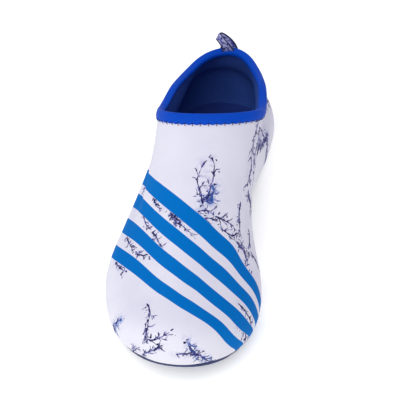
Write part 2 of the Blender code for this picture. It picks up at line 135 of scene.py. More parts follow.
@dataclass(frozen=True)
class Last:
    """The shoe's outer form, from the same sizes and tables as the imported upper."""

    feather_length: float = 0.235
    ball_width: float = 0.087
    heel_behind_origin: float = 0.032
    toe_spring: float = 0.013
    arch_lift: float = 0.009
    outer_arch_lift: float = 0.0027
    wall: float = 0.002
    margin: float = 0.007
    side_bulge: float = 0.0045
    toe_box: float = 0.032
    throat: float = 0.0845
    heel: float = 0.058
    collar_length: float = 0.098
    collar_width: float = 0.059
    collar_tilt: float = 0.0028
    collar_skew: float = 0.0016
    collar_forward: float = 0.006
    vamp_sag: float = 0.011
    sole_top: float = 0.003
    clearance: float = 0.0003
    turn_inside: float = 0.0005
    turn_height: float = 0.001
    arch_middle: float = 0.42
    arch_reach: float = 0.22
    spring_start: float = 0.74
    # Share of the length that each round end takes, and the power of its curve
    heel_round: Range = (0.13, 2.1)
    toe_round: Range = (0.27, 2.25)
    collar_back_round: Range = (0.30, 2.0)
    collar_front_round: Range = (0.30, 2.2)

    # Station, inner half width, outer half width, axis: shares of the ball width
    outline: Table = (
        (0.00, 0.315, 0.320, 0.00),
        (0.15, 0.320, 0.325, 0.00),
        (0.30, 0.300, 0.340, 0.00),
        (0.45, 0.275, 0.380, 0.00),
        (0.60, 0.360, 0.440, 0.00),
        (0.72, 0.455, 0.470, 0.00),
        (0.84, 0.475, 0.445, 0.01),
        (1.00, 0.450, 0.400, 0.03),
    )
    # Place, inner and outer half width as shares of half the collar, then shares of heel and throat height
    collar: Table = (
        (0.00, 0.62, 0.74, 1.00, 0.00),
        (0.20, 0.71, 0.76, 0.95, 0.04),
        (0.45, 0.94, 0.93, 0.60, 0.34),
        (0.70, 1.05, 1.03, 0.25, 0.62),
        (0.88, 1.05, 1.03, 0.05, 0.88),
        (1.00, 1.02, 1.00, 0.00, 1.00),
    )
    # Around, bulge, widest height, way in, shoulder height by the heel and by the toe box, sag
    walls: Table = (
        (0.00, 1.00, 0.50, 0.010, 0.62, 0.00, 0.0),
        (0.12, 0.95, 0.36, 0.020, 0.44, 0.00, 0.0),
        (0.22, 0.65, 0.50, -0.030, 0.40, 0.33, 0.0),
        (0.26, 0.80, 0.55, -0.035, 0.25, 0.55, 0.0),
        (0.30, 0.85, 0.55, 0.040, 0.15, 0.72, 0.0),
        (0.35, 0.95, 0.50, 0.120, 0.06, 0.90, 0.3),
        (0.42, 1.00, 0.50, 0.130, 0.00, 1.03, 1.0),
        (0.50, 1.00, 0.50, 0.120, 0.00, 0.98, 1.0),
        (0.58, 1.00, 0.45, 0.160, 0.00, 0.86, 0.7),
        (0.67, 0.90, 0.45, 0.130, 0.10, 0.77, 0.2),
        (0.73, 0.80, 0.45, 0.070, 0.25, 0.50, 0.1),
        (0.79, 0.75, 0.50, 0.020, 0.40, 0.33, 0.0),
        (0.88, 1.00, 0.50, 0.020, 0.56, 0.00, 0.0),
    )
    # Control points below the shoulder: shares of bulge, way in, widest height and shoulder height
    below_shoulder: Table = (
        (0.90, 0.00, 0.0, 0.00),
        (1.25, 0.00, 1.0, 0.00),
        (1.00, 0.35, 0.0, 0.92),
    )
    # Control points above the shoulder: shares of the way up and of the sag
    above_shoulder: Table = (
        (0.12, 0.4),
        (0.55, 1.0),
        (0.88, 0.1),
    )

    @staticmethod
    def station_of(around: np.ndarray) -> np.ndarray:
        """Station (0 heel, 1 toe) of a place around the outline."""
        return (1.0 - np.cos(2.0 * math.pi * around)) / 2.0

    @staticmethod
    def end_rounding(place: np.ndarray, back: Range, front: Range) -> np.ndarray:
        """Close a width to a round end at both ends.

        Args:
            place: places from back (0) to front (1).
            back: share of the length that the back's curve takes, and its power.
            front: the same at the front.

        Returns:
            Factor for the width at each place.
        """
        back_gap = np.clip((back[0] - place) / back[0], 0.0, 1.0)
        front_gap = np.clip((place - 1.0 + front[0]) / front[0], 0.0, 1.0)
        back_factor = (1.0 - back_gap ** back[1]) ** (1.0 / back[1])
        return back_factor * (1.0 - front_gap ** front[1]) ** (1.0 / front[1])

    def half_widths(self, station: np.ndarray) -> Triple:
        """Read the widths of the feather edge.

        Args:
            station: stations from the heel (0) to the toe (1).

        Returns:
            Inner half width, outer half width and axis at each station.
        """
        closing = self.ball_width * self.end_rounding(station, self.heel_round, self.toe_round)
        inner = smooth_column(self.outline, 1, station) * closing
        outer = smooth_column(self.outline, 2, station) * closing
        return inner, outer, smooth_column(self.outline, 3, station) * self.ball_width

    def feather(self, around: np.ndarray) -> np.ndarray:
        """Place the feather edge, where the upper turns under.

        Args:
            around: places around the shoe.

        Returns:
            Its plan point at each place.
        """
        station = self.station_of(around)
        inner, outer, axis = self.half_widths(station)
        x = np.where(np.mod(around, 1.0) <= 0.5, axis + inner, axis - outer)
        return np.stack([x, self.heel_behind_origin - station * self.feather_length], axis=-1)

    def feather_normal(self, around: np.ndarray) -> np.ndarray:
        """Find which way is out from the feather edge.

        Args:
            around: places around the shoe.

        Returns:
            Outward plan direction at each place.
        """
        step = 0.005
        run = self.feather(around + step) - self.feather(around - step)
        return unit(np.stack([-run[:, 1], run[:, 0]], axis=-1))

    def lift(self, plan: np.ndarray) -> np.ndarray:
        """Find how far the arch and the toe spring raise the sole.

        Args:
            plan: plan points.

        Returns:
            Height at each point.
        """
        narrowest = 1e-6
        station = np.clip((self.heel_behind_origin - plan[..., 1]) / self.feather_length, 0.0, 1.0)
        inner, outer, axis = self.half_widths(station)
        half = np.maximum(np.where(plan[..., 0] > axis, inner, outer), narrowest)
        across = (plan[..., 0] - axis) / half
        inner_share = (np.clip(across, -1.0, 1.0) + 1.0) / 2.0
        amount = self.outer_arch_lift + (self.arch_lift - self.outer_arch_lift) * inner_share
        reach = np.clip(np.abs(station - self.arch_middle) / self.arch_reach, 0.0, 1.0)
        spring = np.clip((station - self.spring_start) / (1.0 - self.spring_start), 0.0, 1.0)
        return amount * np.cos(reach * math.pi / 2.0) ** 2 + self.toe_spring * spring ** 2

    def on_sole(self, plan: np.ndarray, above: np.ndarray | float) -> np.ndarray:
        """Points over plan points, at a height above the outsole's top face."""
        return np.concatenate([plan, (self.lift(plan) + self.sole_top + above)[..., None]], axis=-1)

    def collar_edge(self, around: np.ndarray) -> np.ndarray:
        """Place the collar's edge on the outside of the upper.

        Args:
            around: places around the shoe.

        Returns:
            Its point at each place.
        """
        place = self.station_of(around)
        half = self.collar_width / 2.0
        closing = half * self.end_rounding(place, self.collar_back_round, self.collar_front_round)
        inner = smooth_column(self.collar, 1, place) * closing
        outer = smooth_column(self.collar, 2, place) * closing
        x = np.where(np.mod(around, 1.0) <= 0.5, inner, -outer)
        y = self.heel_behind_origin - self.collar_forward - place * self.collar_length
        z = smooth_column(self.collar, 3, place) * self.heel
        z = z + smooth_column(self.collar, 4, place) * self.throat
        return np.stack([x, y + self.collar_skew * x / half, z + self.collar_tilt * x / half], axis=-1)

    @staticmethod
    def basis(places: np.ndarray, count: int) -> np.ndarray:
        """Weights of a clamped cubic B-spline.

        Args:
            places: places along the spline from 0 to 1.
            count: number of control points.

        Returns:
            One row of weights for each place.
        """
        degree = 3
        inner = np.linspace(0.0, 1.0, count - degree + 1)
        knots = np.concatenate([np.zeros(degree), inner, np.ones(degree)])
        places = np.clip(places, 0.0, 1.0 - 1e-9)[:, None]
        weights = ((places >= knots[:-1]) & (places < knots[1:])).astype(float)
        for order in range(1, degree + 1):
            left_gap = knots[order:-1] - knots[:-order - 1]
            right_gap = knots[order + 1:] - knots[1:-order]
            empty = np.zeros_like(weights[:, :-1])
            left = np.divide(places - knots[:-order - 1], left_gap, out=empty.copy(), where=left_gap > 0)
            right = np.divide(knots[order + 1:] - places, right_gap, out=empty.copy(), where=right_gap > 0)
            weights = left * weights[:, :-1] + right * weights[:, 1:]
        return weights

    def wall_controls(self, around: np.ndarray) -> np.ndarray:
        """Work out the control points of each meridian, from the margin's edge up to the collar.

        Args:
            around: places around the shoe.

        Returns:
            One row of points for each control point, with one column per meridian.
        """
        edge = self.feather(around)
        out = self.feather_normal(around)
        rim = self.collar_edge(around)
        bulge, widest, inward, up_heel, up_toe, sag = (
            smooth_column(self.walls, column, around, loop=True) for column in range(1, 7))

        def at(offset: np.ndarray | float, above: np.ndarray | float) -> np.ndarray:
            """Points at an offset out from the feather edge and a height above the margin."""
            plan = edge + out * np.broadcast_to(offset, around.shape)[:, None]
            return self.on_sole(plan, self.clearance + above)

        bulge = bulge * self.side_bulge
        widest_up = widest * self.toe_box
        shoulder_up = up_heel * self.heel + up_toe * self.toe_box
        shoulder_in = inward * self.ball_width
        shoulder = at(-shoulder_in, shoulder_up)
        rise = rim - shoulder
        drop = np.array([0.0, 0.0, 1.0]) * (sag * self.vamp_sag)[:, None]
        controls = [at(-self.margin, 0.0), at(-self.turn_inside, 0.0)]
        for bulge_share, inward_share, widest_share, shoulder_share in self.below_shoulder:
            height = np.maximum(self.turn_height, widest_share * widest_up + shoulder_share * shoulder_up)
            controls.append(at(bulge_share * bulge - inward_share * shoulder_in, height))
        controls += [shoulder + up * rise - down * drop for up, down in self.above_shoulder]
        return np.array(controls + [rim])

    def surface(self, around: np.ndarray, ring: np.ndarray) -> np.ndarray:
        """Points of the upper's outer face, one row per ring place and one column per meridian."""
        controls = self.wall_controls(around)
        return np.einsum("rk,kac->rac", self.basis(ring, len(controls)), controls)

    def surface_frame(self, around: np.ndarray, ring: np.ndarray) -> Triple:
        """Work out the outer face with its directions.

        Args:
            around: places around the shoe.
            ring: places from the margin's edge up to the collar's edge.

        Returns:
            Points, outward normals and upward tangents, one row per ring place and one column per meridian.
        """
        step = 0.002
        points = self.surface(around, ring)
        run_around = self.surface(around + step, ring) - self.surface(around - step, ring)
        low, high = np.maximum(ring - step, 0.0), np.minimum(ring + step, 1.0)
        run_up = self.surface(around, high) - self.surface(around, low)
        return points, unit(np.cross(run_up, run_around)), unit(run_up)

    def place(self, around: float, ring: float) -> Triple:
        """Point, outward normal and upward tangent at one place of the outer face."""
        points, normals, tangents = self.surface_frame(np.array([around]), np.array([ring]))
        return points[0, 0], normals[0, 0], tangents[0, 0]

    def below_collar(self, around: np.ndarray, distances: np.ndarray) -> tuple[np.ndarray, np.ndarray]:
        """Points and normals of the outer face at distances down from the collar's edge.

        Args:
            around: places around the shoe.
            distances: distances for each meridian, one row per line, in metres.

        Returns:
            Points and normals, one row per line and one column per meridian.
        """
        lowest_ring = 0.6
        samples = 90
        upward, upward_normals, _ = self.surface_frame(around, np.linspace(lowest_ring, 1.0, samples))
        points, normals = upward[::-1], upward_normals[::-1]
        depth = run_along(points)
        found_points = np.zeros((len(distances), len(around), 3))
        found_normals = np.zeros_like(found_points)
        for meridian in range(len(around)):
            wanted, down = distances[:, meridian], depth[:, meridian]
            for axis in range(3):
                found_points[:, meridian, axis] = np.interp(wanted, down, points[:, meridian, axis])
                found_normals[:, meridian, axis] = np.interp(wanted, down, normals[:, meridian, axis])
        return found_points, unit(found_normals)


def add_node(tree: bpy.types.NodeTree, kind: str, links: dict[str | int, object] | None = None,
             **settings: object) -> bpy.types.Node:
    """Add a node with its settings and what feeds it.

    Args:
        tree: node tree to add to.
        kind: Blender's name of the node type.
        links: for each input, by name or number, either an output socket or a value.
        settings: attributes of the node.

    Returns:
        The new node.
    """
    node = tree.nodes.new(kind)
    for name, value in settings.items():
        setattr(node, name, value)
    for name, source in (links or {}).items():
        if isinstance(source, bpy.types.NodeSocket):
            tree.links.new(source, node.inputs[name])
        else:
            node.inputs[name].default_value = source
    return node


def start_material(name: str) -> tuple[bpy.types.Material, bpy.types.NodeTree, bpy.types.Node]:
    """Start a material.

    Args:
        name: what the real material is called.

    Returns:
        The new material, its node tree and its Principled shader.
    """
    made = bpy.data.materials.new(name)
    made.use_nodes = True
    tree = made.node_tree
    return made, tree, tree.nodes["Principled BSDF"]


class Weave(Enum):
    """How a textile's surface is made."""

    JERSEY = "jersey"
    TWILL = "twill"
    FLEECE = "fleece"


def weave_height(tree: bpy.types.NodeTree, weave: Weave, pitch: float) -> bpy.types.NodeSocket:
    """Height pattern of a textile in the piece's own UV map, which is in metres.

    Args:
        tree: node tree to add to.
        weave: kind of surface.
        pitch: thread spacing in metres.

    Returns:
        Socket with a height from 0 to 1.
    """
    if weave is Weave.FLEECE:
        place = add_node(tree, "ShaderNodeTexCoord").outputs["Object"]
        noise = add_node(tree, "ShaderNodeTexNoise", {"Vector": place, "Scale": 1.0 / pitch, "Detail": 4.0})
        return noise.outputs["Fac"]
    uv = add_node(tree, "ShaderNodeUVMap", uv_map="cloth").outputs["UV"]
    turn = TWILL_SLANT if weave is Weave.TWILL else 0.0
    turned = add_node(tree, "ShaderNodeMapping", {"Vector": uv, "Rotation": (0.0, 0.0, turn)})
    columns = {"Vector": turned.outputs["Vector"], "Scale": WAVE_BAND / pitch}
    rows = {"Vector": turned.outputs["Vector"], "Scale": WAVE_BAND / pitch * ROW_SCALE}
    across = add_node(tree, "ShaderNodeTexWave", columns, bands_direction="X")
    along = add_node(tree, "ShaderNodeTexWave", rows, bands_direction="Y")
    heights = {0: across.outputs["Fac"], 1: along.outputs["Fac"]}
    return add_node(tree, "ShaderNodeMath", heights, operation="MULTIPLY").outputs["Value"]


@dataclass(frozen=True)
class PrintedJersey:
    """Polyester stretch jersey on neoprene foam: matt, pale lilac-white, dye-printed stripes, soft knit."""

    ground: str = "E8E7EC"
    shade: str = "E4E3EA"
    haze: str = "8486BE"
    blue: str = "7FA6DC"
    stripe: str = "0071BF"
    # Real wales are 0.5 mm apart; drawn at 0.9 mm so that they show
    wale: float = 0.9 * MILLIMETRE
    bump: float = 0.10 * MILLIMETRE
    # Clouds that stretching leaves in the cloth's tone, and blots of the washed ink
    cloud: float = 16.7 * MILLIMETRE
    blot: float = 2.63 * MILLIMETRE
    # Where the stripe's dye meets the plain cloth, in mm either side of its edge
    bleed: float = 0.12
    roughness: float = 0.85

    def make(self) -> bpy.types.Material:
        """Make the material, which reads the stripes and the washed ink from the mesh.

        Returns:
            The material.
        """
        made, tree, shader = start_material("printed_polyester_jersey")
        place = add_node(tree, "ShaderNodeTexCoord").outputs["Object"]
        stripe, haze, blue = (add_node(tree, "ShaderNodeAttribute", attribute_name=name).outputs["Fac"]
                              for name in ("stripe", "haze", "blue"))
        clouds = add_node(tree, "ShaderNodeTexNoise",
                          {"Vector": place, "Scale": 1.0 / self.cloud, "Detail": 3.0})
        blots = add_node(tree, "ShaderNodeTexNoise",
                         {"Vector": place, "Scale": 1.0 / self.blot, "Detail": 3.0})
        uneven = add_node(tree, "ShaderNodeMapRange", {VALUE: clouds.outputs["Fac"], LOW: 0.35, HIGH: 0.65})
        cloth = add_node(tree, "ShaderNodeMix", {SHARE: uneven.outputs[0], FIRST: linear(self.ground),
                                                 SECOND: linear(self.shade)}, data_type="RGBA")
        patches = add_node(tree, "ShaderNodeMapRange", {VALUE: blots.outputs["Fac"], LOW: 0.42, HIGH: 0.60},
                           interpolation_type="SMOOTHSTEP")
        for share, wash in ((haze, self.haze), (blue, self.blue)):
            veil = add_node(tree, "ShaderNodeMath", {0: share, 1: patches.outputs[0]}, operation="MULTIPLY")
            cloth = add_node(tree, "ShaderNodeMix", {SHARE: veil.outputs[0], FIRST: cloth.outputs[MIXED],
                                                     SECOND: linear(wash)}, data_type="RGBA")
        inside = add_node(tree, "ShaderNodeMapRange", {VALUE: stripe, LOW: -self.bleed, HIGH: self.bleed})
        cloth = add_node(tree, "ShaderNodeMix", {SHARE: inside.outputs[0], FIRST: cloth.outputs[MIXED],
                                                 SECOND: linear(self.stripe)}, data_type="RGBA")
        tree.links.new(cloth.outputs[MIXED], shader.inputs["Base Color"])
        shader.inputs["Roughness"].default_value = self.roughness
        shader.inputs["Sheen Weight"].default_value = 0.01
        shader.inputs["Sheen Roughness"].default_value = 0.5
        shader.inputs["Specular IOR Level"].default_value = 0.04
        height = weave_height(tree, Weave.JERSEY, self.wale)
        knit = add_node(tree, "ShaderNodeBump", {"Height": height, "Distance": self.bump, "Strength": 0.4})
        tree.links.new(knit.outputs["Normal"], shader.inputs["Normal"])
        return made


@dataclass(frozen=True)
class DyedInk:
    """Dye ink on jersey: navy to violet, thin and broken where the dye ran out, as matt as the cloth."""

    dark: str = "1A1C4E"
    middle: str = "5B5A9C"
    pale: str = "B4B5D8"
    blue: str = "2C5FA8"
    # Grain that the cloth leaves in the ink, and how much it lightens or darkens a stroke
    grain: float = 1.111 * MILLIMETRE
    unevenness: float = 0.22
    roughness: float = 0.85

    def make(self) -> bpy.types.Material:
        """Make the material, which reads each stroke's tone from the mesh.

        Returns:
            The material.
        """
        made, tree, shader = start_material("dye_ink_on_jersey")
        place = add_node(tree, "ShaderNodeTexCoord").outputs["Object"]
        tone, blue = (add_node(tree, "ShaderNodeAttribute", attribute_name=name).outputs["Fac"]
                      for name in ("tone", "blue"))
        grain = add_node(tree, "ShaderNodeTexNoise",
                         {"Vector": place, "Scale": 1.0 / self.grain, "Detail": 2.0})
        drift = add_node(tree, "ShaderNodeMapRange", {VALUE: grain.outputs["Fac"], LOW: 0.35, HIGH: 0.65,
                                                      TO_LOW: -self.unevenness, TO_HIGH: self.unevenness})
        uneven = add_node(tree, "ShaderNodeMath", {0: tone, 1: drift.outputs[0]}, operation="ADD")
        thin = add_node(tree, "ShaderNodeMapRange", {VALUE: uneven.outputs[0], LOW: 0.0, HIGH: 0.45})
        deep = add_node(tree, "ShaderNodeMapRange", {VALUE: uneven.outputs[0], LOW: 0.35, HIGH: 0.85})
        veil = add_node(tree, "ShaderNodeMix", {SHARE: thin.outputs[0], FIRST: linear(self.pale),
                                                SECOND: linear(self.middle)}, data_type="RGBA")
        pool = add_node(tree, "ShaderNodeMix", {SHARE: blue, FIRST: linear(self.dark),
                                                SECOND: linear(self.blue)}, data_type="RGBA")
        ink = add_node(tree, "ShaderNodeMix", {SHARE: deep.outputs[0], FIRST: veil.outputs[MIXED],
                                               SECOND: pool.outputs[MIXED]}, data_type="RGBA")
        tree.links.new(ink.outputs[MIXED], shader.inputs["Base Color"])
        shader.inputs["Roughness"].default_value = self.roughness
        shader.inputs["Specular IOR Level"].default_value = 0.15
        return made


@dataclass(frozen=True)
class Textile:
    """Plain-dyed textile: a colour, painted shade in the weave's hollows, and the bump of its weave."""

    name: str
    colour: str
    # Darker colour: painted shade in the weave's hollows, and the tone of the worn clouds
    shade: str
    weave: Weave
    pitch: float
    depth: float
    roughness: float
    sheen: float
    # Clouds of wear in the cloth's tone
    cloud: float = 11.1 * MILLIMETRE

    def make(self) -> bpy.types.Material:
        """Make the material, with the weave's height as painted shade in its colour and as bump.

        Returns:
            The material.
        """
        made, tree, shader = start_material(self.name)
        height = weave_height(tree, self.weave, self.pitch)
        place = add_node(tree, "ShaderNodeTexCoord").outputs["Object"]
        clouds = add_node(tree, "ShaderNodeTexNoise",
                          {"Vector": place, "Scale": 1.0 / self.cloud, "Detail": 3.0})
        # Painted shade: the weave's low places take the darker shade colour, its raised threads the plain
        # colour
        raised = add_node(tree, "ShaderNodeMapRange", {VALUE: height, LOW: 0.1, HIGH: 0.7},
                          interpolation_type="SMOOTHSTEP")
        cloth = add_node(tree, "ShaderNodeMix", {SHARE: raised.outputs[0], FIRST: linear(self.shade),
                                                 SECOND: linear(self.colour)}, data_type="RGBA")
        worn = add_node(tree, "ShaderNodeMapRange",
                        {VALUE: clouds.outputs["Fac"], LOW: 0.35, HIGH: 0.75, TO_LOW: 0.0, TO_HIGH: 0.3},
                        interpolation_type="SMOOTHSTEP")
        cloth = add_node(tree, "ShaderNodeMix", {SHARE: worn.outputs[0], FIRST: cloth.outputs[MIXED],
                                                 SECOND: linear(self.shade)}, data_type="RGBA")
        tree.links.new(cloth.outputs[MIXED], shader.inputs["Base Color"])
        shader.inputs["Roughness"].default_value = self.roughness
        shader.inputs["Sheen Weight"].default_value = self.sheen
        shader.inputs["Sheen Roughness"].default_value = 0.4
        shader.inputs["Sheen Tint"].default_value = linear(self.colour)
        shader.inputs["Specular IOR Level"].default_value = 0.1
        bump = add_node(tree, "ShaderNodeBump", {"Height": height, "Distance": self.depth, "Strength": 0.6})
        tree.links.new(bump.outputs["Normal"], shader.inputs["Normal"])
        return made


# Each textile's shade is painted shade in its weave's hollows and the tone of its worn clouds
# Brushed polyester lining: navy that goes near-black in the shoe's depth, with a nap that lifts at its edges
LINING = Textile(name="brushed_polyester_lining", colour="34559F", shade="284088", weave=Weave.FLEECE,
                 pitch=0.8 * MILLIMETRE, depth=0.15 * MILLIMETRE, roughness=0.9, sheen=0.25)
# Woven elastic binding tape: royal blue, fine slanted ribs, a dull shine along the fold
BINDING_TAPE = Textile(name="woven_elastic_tape", colour="0056D2", shade="0045B6", weave=Weave.TWILL,
                       pitch=0.7 * MILLIMETRE, depth=0.10 * MILLIMETRE, roughness=0.6, sheen=0.02)
# Foam liner faced with brushed knit: navy, a little duller than the lining
SOCK_LINER = Textile(name="brushed_knit_on_foam", colour="2A4088", shade="1F3070", weave=Weave.FLEECE,
                     pitch=0.7 * MILLIMETRE, depth=0.15 * MILLIMETRE, roughness=0.92, sheen=0.2)
# Polyester sewing thread: navy, tight twist, a small highlight
THREAD = Textile(name="polyester_thread", colour="1A2468", shade="10164A", weave=Weave.TWILL,
                 pitch=0.3 * MILLIMETRE, depth=0.05 * MILLIMETRE, roughness=0.6, sheen=0.1)


@dataclass(frozen=True)
class MouldedRubber:
    """Compression-moulded rubber: matt navy skin, a fine mould grain and slightly paler scuffed patches."""

    colour: str = "16285C"
    worn: str = "22366C"
    grain: float = 0.6 * MILLIMETRE
    bump: float = 0.06 * MILLIMETRE
    # Fine ribs of the tread, 1.2 mm apart on the real sole and drawn at 1.6 mm so that they show
    rib: float = 1.6 * MILLIMETRE
    rib_depth: float = 0.25 * MILLIMETRE
    # Scuffed patches
    cloud: float = 16.7 * MILLIMETRE
    roughness: float = 0.55

    def make(self) -> bpy.types.Material:
        """Make the material, with the mould's grain and the tread's ribs as bump in the piece's coordinates.

        Returns:
            The material.
        """
        made, tree, shader = start_material("moulded_navy_rubber")
        place = add_node(tree, "ShaderNodeTexCoord").outputs["Object"]
        grain = add_node(tree, "ShaderNodeTexNoise",
                         {"Vector": place, "Scale": 1.0 / self.grain, "Detail": 3.0})
        clouds = add_node(tree, "ShaderNodeTexNoise",
                          {"Vector": place, "Scale": 1.0 / self.cloud, "Detail": 3.0})
        scuffed = add_node(tree, "ShaderNodeMapRange",
                           {VALUE: clouds.outputs["Fac"], LOW: 0.4, HIGH: 0.75, TO_LOW: 0.0, TO_HIGH: 0.6},
                           interpolation_type="SMOOTHSTEP")
        rubber = add_node(tree, "ShaderNodeMix", {SHARE: scuffed.outputs[0], FIRST: linear(self.colour),
                                                  SECOND: linear(self.worn)}, data_type="RGBA")
        tree.links.new(rubber.outputs[MIXED], shader.inputs["Base Color"])
        shader.inputs["Roughness"].default_value = self.roughness
        skin = add_node(tree, "ShaderNodeBump", {"Height": grain.outputs["Fac"], "Distance": self.bump,
                                                 "Strength": 0.5})
        ribs = add_node(tree, "ShaderNodeTexWave", {"Vector": place, "Scale": WAVE_BAND / self.rib},
                        bands_direction="Y")
        # Only what looks down has ribs
        normal = add_node(tree, "ShaderNodeNewGeometry").outputs["Normal"]
        facing = add_node(tree, "ShaderNodeSeparateXYZ", {0: normal})
        under = add_node(tree, "ShaderNodeMapRange",
                         {VALUE: facing.outputs["Z"], LOW: -0.9, HIGH: -0.6, TO_LOW: 1.0, TO_HIGH: 0.0})
        tread = add_node(tree, "ShaderNodeMath", {0: ribs.outputs["Fac"], 1: under.outputs[0]},
                         operation="MULTIPLY")
        ribbed = add_node(tree, "ShaderNodeBump", {"Height": tread.outputs[0], "Distance": self.rib_depth,
                                                   "Strength": 0.8, "Normal": skin.outputs["Normal"]})
        tree.links.new(ribbed.outputs["Normal"], shader.inputs["Normal"])
        return made


@dataclass(frozen=True)
class PrintedRibbon:
    """Woven satin ribbon, printed: pale lilac with navy flecks, and navy selvedges along both edges."""

    ground: str = "C3C5E6"
    fleck: str = "39408F"
    selvedge: str = "14184C"
    pitch: float = 0.5 * MILLIMETRE
    # Printed flecks
    blot: float = 2.38 * MILLIMETRE
    bump: float = 0.06 * MILLIMETRE
    roughness: float = 0.5

    def make(self) -> bpy.types.Material:
        """Make the material, which reads the share across the ribbon from the mesh.

        Returns:
            The material.
        """
        made, tree, shader = start_material("printed_satin_ribbon")
        uv = add_node(tree, "ShaderNodeUVMap", uv_map="cloth").outputs["UV"]
        across = add_node(tree, "ShaderNodeAttribute", attribute_name="across").outputs["Fac"]
        blots = add_node(tree, "ShaderNodeTexNoise", {"Vector": uv, "Scale": 1.0 / self.blot, "Detail": 3.0})
        flecks = add_node(tree, "ShaderNodeMapRange", {VALUE: blots.outputs["Fac"], LOW: 0.45, HIGH: 0.58},
                          interpolation_type="SMOOTHSTEP")
        edges = add_node(tree, "ShaderNodeMapRange", {VALUE: across, LOW: 0.74, HIGH: 0.88},
                         interpolation_type="SMOOTHSTEP")
        satin = add_node(tree, "ShaderNodeMix", {SHARE: flecks.outputs[0], FIRST: linear(self.ground),
                                                 SECOND: linear(self.fleck)}, data_type="RGBA")
        satin = add_node(tree, "ShaderNodeMix", {SHARE: edges.outputs[0], FIRST: satin.outputs[MIXED],
                                                 SECOND: linear(self.selvedge)}, data_type="RGBA")
        tree.links.new(satin.outputs[MIXED], shader.inputs["Base Color"])
        shader.inputs["Roughness"].default_value = self.roughness
        shader.inputs["Sheen Weight"].default_value = 0.1
        height = weave_height(tree, Weave.TWILL, self.pitch)
        ribs = add_node(tree, "ShaderNodeBump", {"Height": height, "Distance": self.bump, "Strength": 0.4})
        tree.links.new(ribs.outputs["Normal"], shader.inputs["Normal"])
        return made


def make_piece(name: str, points: np.ndarray, faces: Sequence[Sequence[int]],
               materials: Sequence[bpy.types.Material], nodes: Sequence[str] = ()) -> bpy.types.Object:
    """Make a mesh piece that rides on the shoe.

    Args:
        name: the piece's name.
        points: its points in metres.
        faces: its faces as rows of point numbers.
        materials: its materials.
        nodes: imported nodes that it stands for.

    Returns:
        The new object, smooth shaded.
    """
    mesh = bpy.data.meshes.new(name)
    mesh.from_pydata([tuple(point) for point in np.asarray(points, float).reshape(-1, 3)], [], faces)
    shell = bmesh.new()
    shell.from_mesh(mesh)
    bmesh.ops.recalc_face_normals(shell, faces=shell.faces)
    shell.to_mesh(mesh)
    shell.free()
    mesh.shade_smooth()
    for finish in materials:
        mesh.materials.append(finish)
    piece = bpy.data.objects.new(name, mesh)
    bpy.context.scene.collection.objects.link(piece)
    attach(piece, BODY)
    if nodes:
        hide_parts(*nodes)
    LOG.info("%s: %d faces", name, len(faces))
    return piece


def ring_faces(rings: int, size: int, closed: bool) -> list[Quad]:
    """Quads between rings of points.

    Args:
        rings: number of rings.
        size: points in each ring, which closes on itself.
        closed: whether the last ring joins the first.

    Returns:
        Rows of four point numbers.
    """
    faces = []
    for ring in range(rings if closed else rings - 1):
        here = ring * size
        after = (ring + 1) % rings * size
        for step in range(size):
            beside = (step + 1) % size
            faces.append((here + beside, here + step, after + step, after + beside))
    return faces


def wrap_uv(rings: np.ndarray, run: np.ndarray) -> np.ndarray:
    """Work out UVs in metres for rings of points.

    Args:
        rings: one row of points for each ring.
        run: length round the shoe at each point of a ring.

    Returns:
        One row of two lengths for each point: round the shoe, and across the rings.
    """
    length = run_along(rings)
    return np.stack([np.broadcast_to(run, length.shape), length], axis=-1).reshape(-1, 2)


def set_uv(piece: bpy.types.Object, uv: np.ndarray, seam: float = 0.0) -> None:
    """Give a piece a UV map in metres.

    Args:
        piece: mesh piece.
        uv: one row of two lengths for each point.
        seam: length of a full turn in the first direction, where faces close on the start; 0 for none.
    """
    mesh = piece.data
    corner_points = np.zeros(len(mesh.loops), int)
    mesh.loops.foreach_get("vertex_index", corner_points)
    values = uv[corner_points]
    if seam:
        corners = 4
        first = np.repeat(values[::corners, 0], corners)
        values[:, 0] = values[:, 0] + np.where(values[:, 0] < first - seam / 2.0, seam, 0.0)
        highest = np.repeat(values[:, 0].reshape(-1, corners).max(axis=1), corners)
        values[:, 0] = values[:, 0] + np.where(values[:, 0] < highest - seam / 2.0, seam, 0.0)
    layer = mesh.uv_layers.new(name="cloth")
    layer.data.foreach_set("uv", values.ravel().astype(np.float32))


def set_attribute(piece: bpy.types.Object, name: str, values: np.ndarray) -> None:
    """Give each point of a piece a number."""
    attribute = piece.data.attributes.new(name, "FLOAT", "POINT")
    attribute.data.foreach_set("value", values.ravel().astype(np.float32))


@dataclass(frozen=True)
class Bough:
    """One printed twig from a start place to an end place on the upper, with side twigs grown along it.

    thick is a share of a plain twig's width and reach is the length of its longest side twig in mm. haze is
    the share of washed ink round it, and blue is the share of blue among its strokes.
    """

    around: float
    ring: float
    to_around: float
    to_ring: float
    thick: float
    twigs: int
    reach: float
    haze: float = 0.0
    blue: float = 0.0


